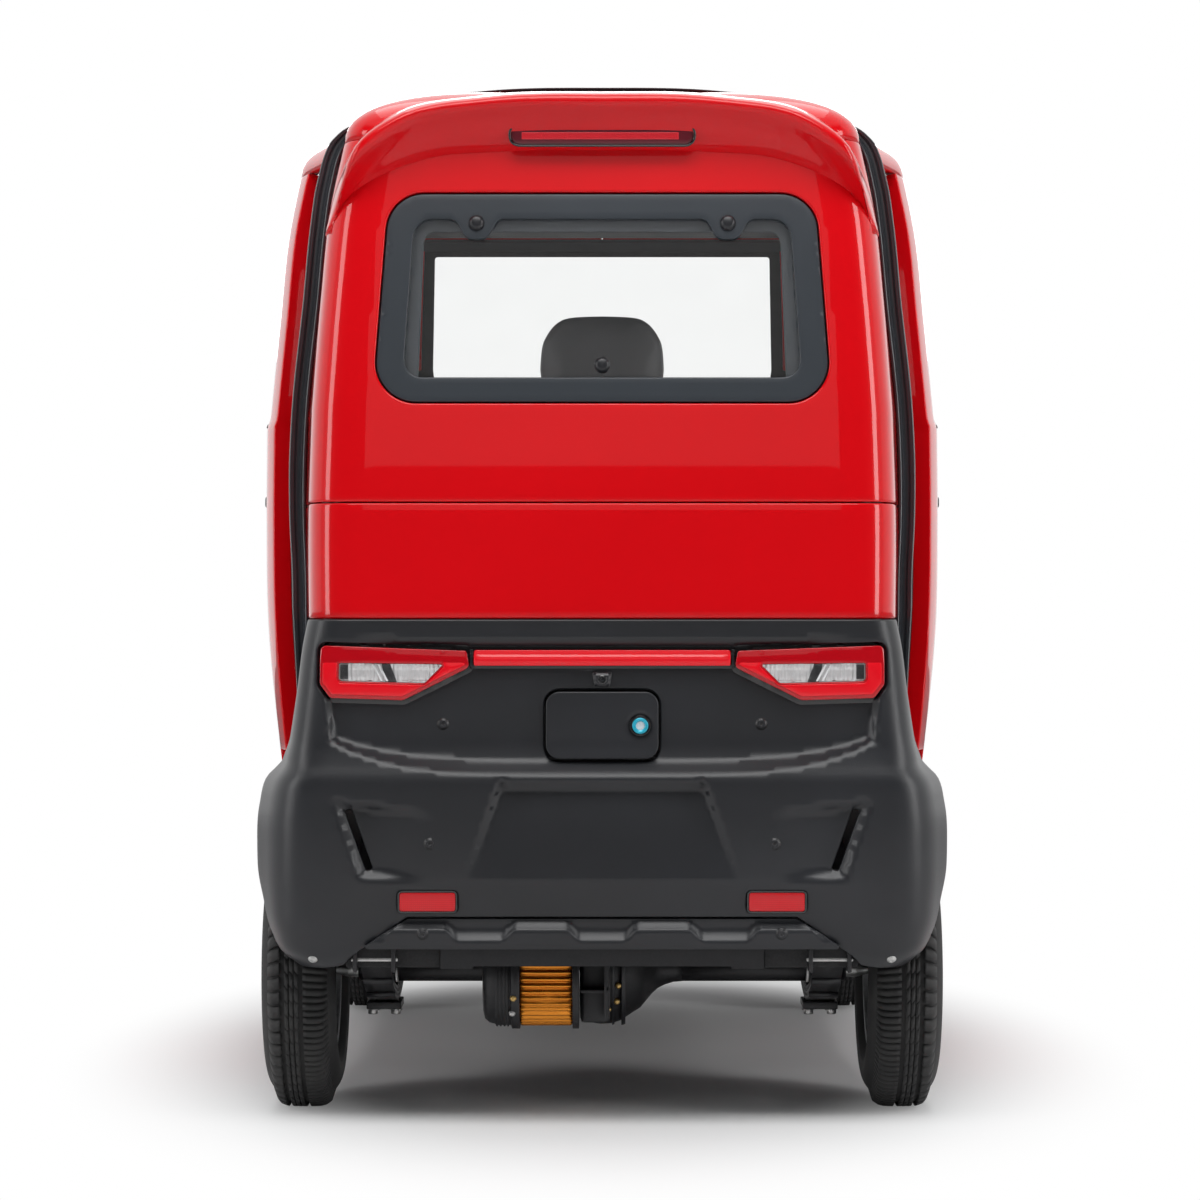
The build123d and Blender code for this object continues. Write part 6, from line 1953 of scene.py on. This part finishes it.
header = outline([(-0.360, 1.520), (0.360, 1.520), (0.356, 1.536), (-0.356, 1.536)], 0.002, 0.010)
panel("windscreen_header", sunk_skin(screen_skin, 0.0305), header, "body", "cabin_plastic", cabin_plastic,
      spacing=0.015, roll=0.001, thick=0.012)

# %% Headlamps
bowl = round_part("headlamp_bowl", [
    (-0.006, 0.0), (-0.006, 0.020), (0.016, 0.029), (0.018, 0.0275), (0.006, 0.019), (0.000, 0.009),
    (0.000, 0.0)], 0.001, 3, 40)
bulb = round_part("headlamp_eye", [
    (0.0, 0.0), (0.0, 0.012), (0.010, 0.0115), (0.017, 0.007), (0.019, 0.0)], 0.002, 4, 32)
for hand, cut in zip(("right", "left"), nose_headlamps):
    loop = shrunk(cut, 0.0035)
    panel(f"headlamp_back_{hand}", sunk_skin(nose_skin, 0.032), shrunk(loop, -0.010), "body", "headlamp_lens",
          gloss_black, spacing=0.012, roll=0.001, thick=0.004)
    panel(f"headlamp_wall_{hand}", sunk_skin(nose_skin, 0.004), shrunk(loop, 0.0005), "body", "headlamp_lens",
          gloss_black, [shrunk(loop, 0.0035)], spacing=0.006, roll=0.0006, thick=0.029)
    panel(f"headlamp_lens_{hand}", sunk_skin(nose_skin, -0.001), loop, "body", "headlamp_lens", clear_lens,
          spacing=0.008, roll=0.002, thick=0.0025, stands_for=("headlamps",) if hand == "right" else ())
    bowls, out = on_skin(nose_skin, loop.mean(0) + np.array([(-0.028, 0.004), (0.036, 0.008)]), 0.026)
    repeated(f"headlamp_reflectors_{hand}", bowl, bowls, out, "body", chrome)
    repeated(f"headlamp_eyes_{hand}", bulb, bowls, out, "body", clear_lens)

# %% [markdown]
# The front bumper has the same swollen fenders as the tail. Its intake is a real opening with slats, and the
# ledge above it and the recesses for the round reflectors are relief.

# %% Front moulding
INTAKE = outline([(-0.200, 0.345), (0.200, 0.345), (0.230, 0.425), (-0.230, 0.425)], 0.018)
RECESS = outline([(0.270, 0.330), (0.400, 0.340), (0.380, 0.410), (0.270, 0.420)], 0.015)


def front_edge():
    """The front moulding's outline: from the middle of its foot round the arch to the post, and over."""
    arch_t = cast_y(front_skin, arch_path(FRONT_AXLE_Y, 0.251)[::-1])
    end_t = found(front_skin, 1, np.array([POST_Y + 0.004] * 2), np.array([0.251, 0.561]), 0.30, 1.30)
    under = dense_path([(0.0, 0.251), tuple(arch_t[0])])
    rise = dense_path([tuple(arch_t[-1]), (end_t[0], 0.251), (end_t[1], 0.561), (0.0, 0.561)])
    right = np.concatenate([under[:-1], arch_t[:-1], rise])
    return np.concatenate([right[:-1], mirrored_loop(right)[:-1]])


def front_relief(spots):
    x, z = np.abs(spots[:, 0]), spots[:, 1]
    ledge = 0.012 * ramp(z - 0.470, 0.030) * ramp(0.300 - x + 0.25 * (z - 0.47), 0.030)
    return ledge + 0.014 * ramp(depth_in(RECESS, np.stack([x, z], 1)), 0.014)


panel("front_moulding_skin", front_skin, front_edge(), "body", "charcoal_moulding", charcoal, [INTAKE],
      relief=front_relief, spacing=0.012, roll=0.0025, thick=0.012, stands_for=("front_moulding",))
panel("intake_back", sunk_skin(front_skin, 0.030), shrunk(INTAKE, -0.012), "body", "black_plastic",
      black_plastic, spacing=0.030, roll=0.001, thick=0.004)
for number in range(4):
    low = 0.3555 + 0.0175 * number
    half = 0.205 + 0.0065 * number
    slat = outline([(-half, low), (half, low), (half + 0.002, low + 0.007), (-half - 0.002, low + 0.007)],
                   0.002, 0.008)
    panel(f"intake_slat_{number + 1}", sunk_skin(front_skin, 0.006), slat, "body", "black_plastic",
          charcoal_smooth, spacing=0.010, roll=0.001, thick=0.022)
fog_spots, fog_ways = on_skin(front_skin, np.array([(0.320, 0.375), (-0.320, 0.375)]), 0.0125)
fog_part = round_part("fog_part", [(-0.004, 0.0), (-0.004, 0.029), (0.004, 0.029), (0.007, 0.020),
                                   (0.008, 0.0)], 0.002, 4, 36)
repeated("front_reflectors", fog_part, fog_spots, fog_ways, "body", clear_lens)
FRONT_PLUGS = np.array([(0.22, 0.520), (-0.22, 0.520), (0.30, 0.290), (-0.30, 0.290)])
seats, outward = on_skin(front_skin, FRONT_PLUGS, 0.0)
repeated("front_plugs", plug_part, seats - outward * 0.0003, outward, "body",
         charcoal_smooth)

# %% [markdown]
# The rest of the running gear keeps its plain welded and forged forms from the frame. Each piece only needs
# the finish that it was painted in.

# %% Plain pieces kept from the frame
def keep(node, finish, slot):
    """Show a construction node itself, in its finish."""
    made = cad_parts[node]
    made.data.materials.clear()
    made.data.materials.append(finish)
    MADE[node] = len(made.data.polygons)


KEPT = {
    "black_steel": (cast_black, ["floor_pan", "chassis_rails", "cross_members", "front_beam", "front_arms",
                                 "front_spring", "knuckle_right", "knuckle_left", "tie_rod"]),
    "black_plastic": (liner_black, ["rear_liners", "front_liners", "battery_pack", "charge_port"]),
    "wheel_alloy": (alloy, ["rear_wheel_right", "rear_wheel_left", "front_wheel_right", "front_wheel_left"]),
}
for slot, (finish, nodes) in KEPT.items():
    for node in nodes:
        keep(node, finish, slot)
# A near-black tray behind and under the bumper: it closes the gap, and its colour is painted shade for the
# dark space under the tail.
piece("rear_undertray", *joined(block(0.250, 0.396, -1.072, -1.066, 0.252, 0.318),
                                block(-0.396, -0.250, -1.072, -1.066, 0.252, 0.318),
                                block(-0.252, 0.252, -1.064, -1.058, 0.262, 0.330)),
      "body", "black_plastic", liner_black)

# %% [markdown]
# The cabin's hard parts are plain mouldings and keep their construction forms in a grained plastic. The
# lining under the roof and the trim behind the glass hide the painted shells, as they do in a real car.

# %% Hard parts of the cabin
for node in ("dashboard", "seat_base"):
    keep(node, cabin_plastic, "cabin_plastic")
for node in ("steering_column", "steering_wheel"):
    keep(node, black_plastic, "black_plastic")
piece("roof_lining", *block(-0.395, 0.395, -0.980, 0.300, 1.512, 1.518), "body", "cabin_plastic",
      cabin_plastic)

# %% [markdown]
# The seat is stuffed, so it is made as an upholsterer makes it: a cover cut a little small, blown out by
# cloth simulation, then pulled in along its sewn channels. A cap on how far a point may move keeps it in its
# place.

# %% Stuffed pads
CHANNEL_DEPTH, CHANNEL_WIDTH = 0.007, 0.007
VOXEL, BLOWN_FRAMES = 0.010, 20


def pad_form(profile, radii, ends, axis=0, roll=0.022, trim=0.010, steps=6):
    """An outline carried along x (axis 0) or y (axis 1) between two ends, with both ends rounded over."""
    loop = shrunk(outline(profile, radii, 0.012), trim)
    turns = [pi / 2 * k / steps for k in range(steps + 1)]
    low = [(ends[0] + trim + roll * (1 - cos(turn)), roll * (1 - sin(turn))) for turn in turns]
    high = [(ends[1] - trim - roll * (1 - cos(turn)), roll * (1 - sin(turn))) for turn in turns[::-1]]
    return skinned([np.insert(shrunk(loop, inset), axis, place, axis=1) for place, inset in low + high])


def stuffed(name, form, swell, channels, stands_for):
    """Blow a closed cover out like a stuffed pad, then sew its channels in."""
    made = shown(name, mesh_of(name, *form))

    def modified(kind, **settings):
        modifier = made.modifiers.new(kind.lower(), kind)
        for key, value in settings.items():
            setattr(modifier, key, value)
        return modifier

    modified("REMESH", mode="VOXEL", voxel_size=VOXEL)
    made.data = settled(made)
    start = np.array([v.co[:] for v in made.data.vertices])
    cloth = modified("CLOTH")
    cloth.settings.use_pressure = True
    cloth.settings.uniform_pressure_force = 4.0
    cloth.settings.effector_weights.gravity = 0.0
    for number in range(1, BLOWN_FRAMES + 1):
        bpy.context.scene.frame_set(number)
    blown = np.array([v.co[:] for v in settled(made).vertices])
    bpy.context.scene.frame_set(1)
    move = blown - start
    far = np.linalg.norm(move, axis=1)[:, None]
    start = start + move * np.minimum(1.0, swell / np.maximum(far, 1e-9))
    normals = np.array([v.normal[:] for v in made.data.vertices])
    away = channels(start)
    start = start - normals * (CHANNEL_DEPTH * np.exp(-(away / CHANNEL_WIDTH) ** 2))[:, None]
    made.data.vertices.foreach_set("co", start.astype(np.float32).ravel())
    made.data.update()
    modified("SUBSURF", levels=1, render_levels=1)
    made.data = settled(made)
    box = np.array([v.co[:] for v in made.data.vertices])
    print(name, "reaches", box.min(0).round(3), box.max(0).round(3))
    return dressed(made, "body", seat_leather, stands_for)


def across(places, axis, lines, width):
    """Distance to the nearest of a few sewn lines, which stop short of the pad's sides."""
    near = np.min([np.abs(places[:, axis] - line) for line in lines], 0)
    return np.where(np.abs(places[:, 0]) < width, near, 1.0)


def cushion_lines(places):
    return np.minimum(across(places, 1, (-0.270, -0.140, -0.010), 0.125),
                      np.abs(np.abs(places[:, 0]) - 0.130))


def back_lines(places):
    return np.minimum(across(places, 2, (0.700, 0.820, 0.940), 0.120), np.abs(np.abs(places[:, 0]) - 0.125))


CUSHION = [(-0.400, 0.464), (0.100, 0.470), (0.108, 0.548), (0.060, 0.566), (-0.400, 0.552)]
BACK = [(-0.458, 0.566), (-0.345, 0.566), (-0.392, 1.040), (-0.412, 1.062), (-0.455, 1.062), (-0.472, 1.040)]
HEAD = [(-0.110, 1.098), (0.110, 1.098), (0.110, 1.262), (0.078, 1.310), (-0.078, 1.310), (-0.110, 1.262)]
head_form = pad_form(HEAD, [0.034, 0.034, 0.050, 0.050, 0.050, 0.050], (-0.478, -0.408), 1, 0.020, 0.006)
stuffed("seat_cushion_cover", pad_form(CUSHION, 0.033, (-0.225, 0.225)), 0.012, cushion_lines,
        ("seat_cushion",))
stuffed("seat_back_cover", pad_form(BACK, 0.030, (-0.220, 0.220), roll=0.018), 0.012, back_lines,
        ("seat_back",))
stuffed("headrest_cover", head_form, 0.007, lambda places: np.abs(places[:, 2] - 1.150), ("headrest",))
post_part = round_part("headrest_post", [(0.0, 0.0), (0.0, 0.006), (0.090, 0.006), (0.090, 0.0)], 0.001, 2,
                       20)
repeated("headrest_posts", post_part, [(-0.062, -0.443, 1.040), (0.062, -0.443, 1.040)], [(0, 0, 1)] * 2,
         "body", chrome)

# %% [markdown]
# The car is lit as in a white photographic studio: a broad soft light high behind the camera side, a tall
# softbox that the upper panel mirrors, a weaker light at each side, and a pale room. The far floor is as
# white as the backdrop to the camera, and near the car it keeps a soft shadow.

# %% Studio
def soft_light(name, place, aim, size, power):
    data = bpy.data.lights.new(name, "AREA")
    data.shape, data.size, data.size_y, data.energy = "RECTANGLE", size[0], size[1], power
    lamp = shown(name, data)
    lamp.location = place
    lamp.visible_camera = lamp.visible_transmission = False
    lamp.rotation_euler = (Vector(aim) - Vector(place)).to_track_quat("-Z", "Y").to_euler()


soft_light("softbox", (0.0, -9.0, 3.95), (0.0, -1.0, 1.3), (3.0, 4.1), 20.0)
soft_light("key", (0.0, -3.3, 4.3), (0.0, -1.0, 0.7), (3.5, 2.0), 120.0)
soft_light("left_box", (-3.6, -2.4, 1.7), (-0.3, -0.6, 0.7), (0.9, 3.0), 46.0)
soft_light("right_box", (3.6, -2.4, 1.7), (0.3, -0.6, 0.7), (0.9, 3.0), 60.0)
soft_light("top", (0.0, 0.6, 4.6), (0.0, 0.2, 0.0), (3.0, 3.6), 55.0)
soft_light("front_fill", (0.0, 5.4, 2.6), (0.0, 0.5, 0.8), (3.2, 2.0), 55.0)

FLOOR_HALF = 14.0
SHADOW_REACH, WHITE_REACH = 0.50, 0.98
rim = [(x * FLOOR_HALF, y * FLOOR_HALF, 0.0) for x, y in ((-1, -1), (1, -1), (1, 1), (-1, 1))]
floor_mesh = bpy.data.meshes.new("floor")
floor_mesh.from_pydata(rim, [], [(0, 1, 2, 3)])
shown("floor", floor_mesh)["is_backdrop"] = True


def floor_recipe(place):
    flat = place.node("VectorMath", {"operation": "MULTIPLY"}, i0=place, i1=(1.0, 0.52, 0.0))
    away = place.node("VectorMath", {"operation": "LENGTH"}, output=1, i0=flat)
    seen = place.node("LightPath", output="Is Camera Ray")
    blank = away.step(SHADOW_REACH, WHITE_REACH) * seen
    paper = speckle(place, 2.0).blend((0.86, 0.86, 0.86), (0.88, 0.88, 0.88))
    return {"Base_Color": blank.blend(paper, (0.0, 0.0, 0.0)),
            "Emission_Color": blank.blend((0.0, 0.0, 0.0), (1.0, 1.0, 1.0))}


floor_mesh.materials.append(material("studio_floor", floor_recipe, Roughness=0.7, Specular_IOR_Level=0.0,
                                     Emission_Strength=1.0))

# %% [markdown]
# The room is white to the camera and through glass. Glossy surfaces see that same white backdrop beyond the
# car and overhead, and the dim studio where the camera stands, so the paint keeps its depth.

# %% World
ROOM_LIGHT = (0.18, 0.18, 0.185)
DIM_ROOM, WHITE = (0.045, 0.045, 0.048), (1.0, 1.0, 1.0)
world = bpy.data.worlds.new("studio")
world.use_nodes = True
bpy.context.scene.world = world
sky = world.node_tree.nodes["Background"]
room = Wire(world.node_tree, world.node_tree.nodes.new("ShaderNodeTexCoord").outputs["Generated"])
side_way, ahead_way, up_way = (room.node("SeparateXYZ", output=axis, Vector=room) for axis in "XYZ")
walls = side_way.math("ABSOLUTE", side_way).step(0.80, 0.97) * 0.55
backdrop = room.math("MAXIMUM", ahead_way.step(-0.12, 0.10), up_way.step(0.62, 0.80) * 0.9)
backdrop = room.math("MAXIMUM", backdrop, walls)
camera_rays, glass_rays, mirrored_rays = (room.node("LightPath", output=f"Is {kind} Ray")
                                          for kind in ("Camera", "Transmission", "Glossy"))
open_rays = room.math("MAXIMUM", camera_rays, glass_rays)
lit = mirrored_rays.blend(ROOM_LIGHT, backdrop.blend(DIM_ROOM, WHITE))
plug(world.node_tree, sky.inputs["Color"], open_rays.blend(lit, WHITE))
bpy.context.scene.view_settings.view_transform = "Standard"

# %% [markdown]
# Last, the whole object's box is printed, and the pieces are counted.

# %% Sizes and counts
low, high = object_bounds()
print("visual box", [round(v, 3) for v in (*low, *high)])
print(len(MADE), "pieces,", sum(MADE.values()), "triangles in all")
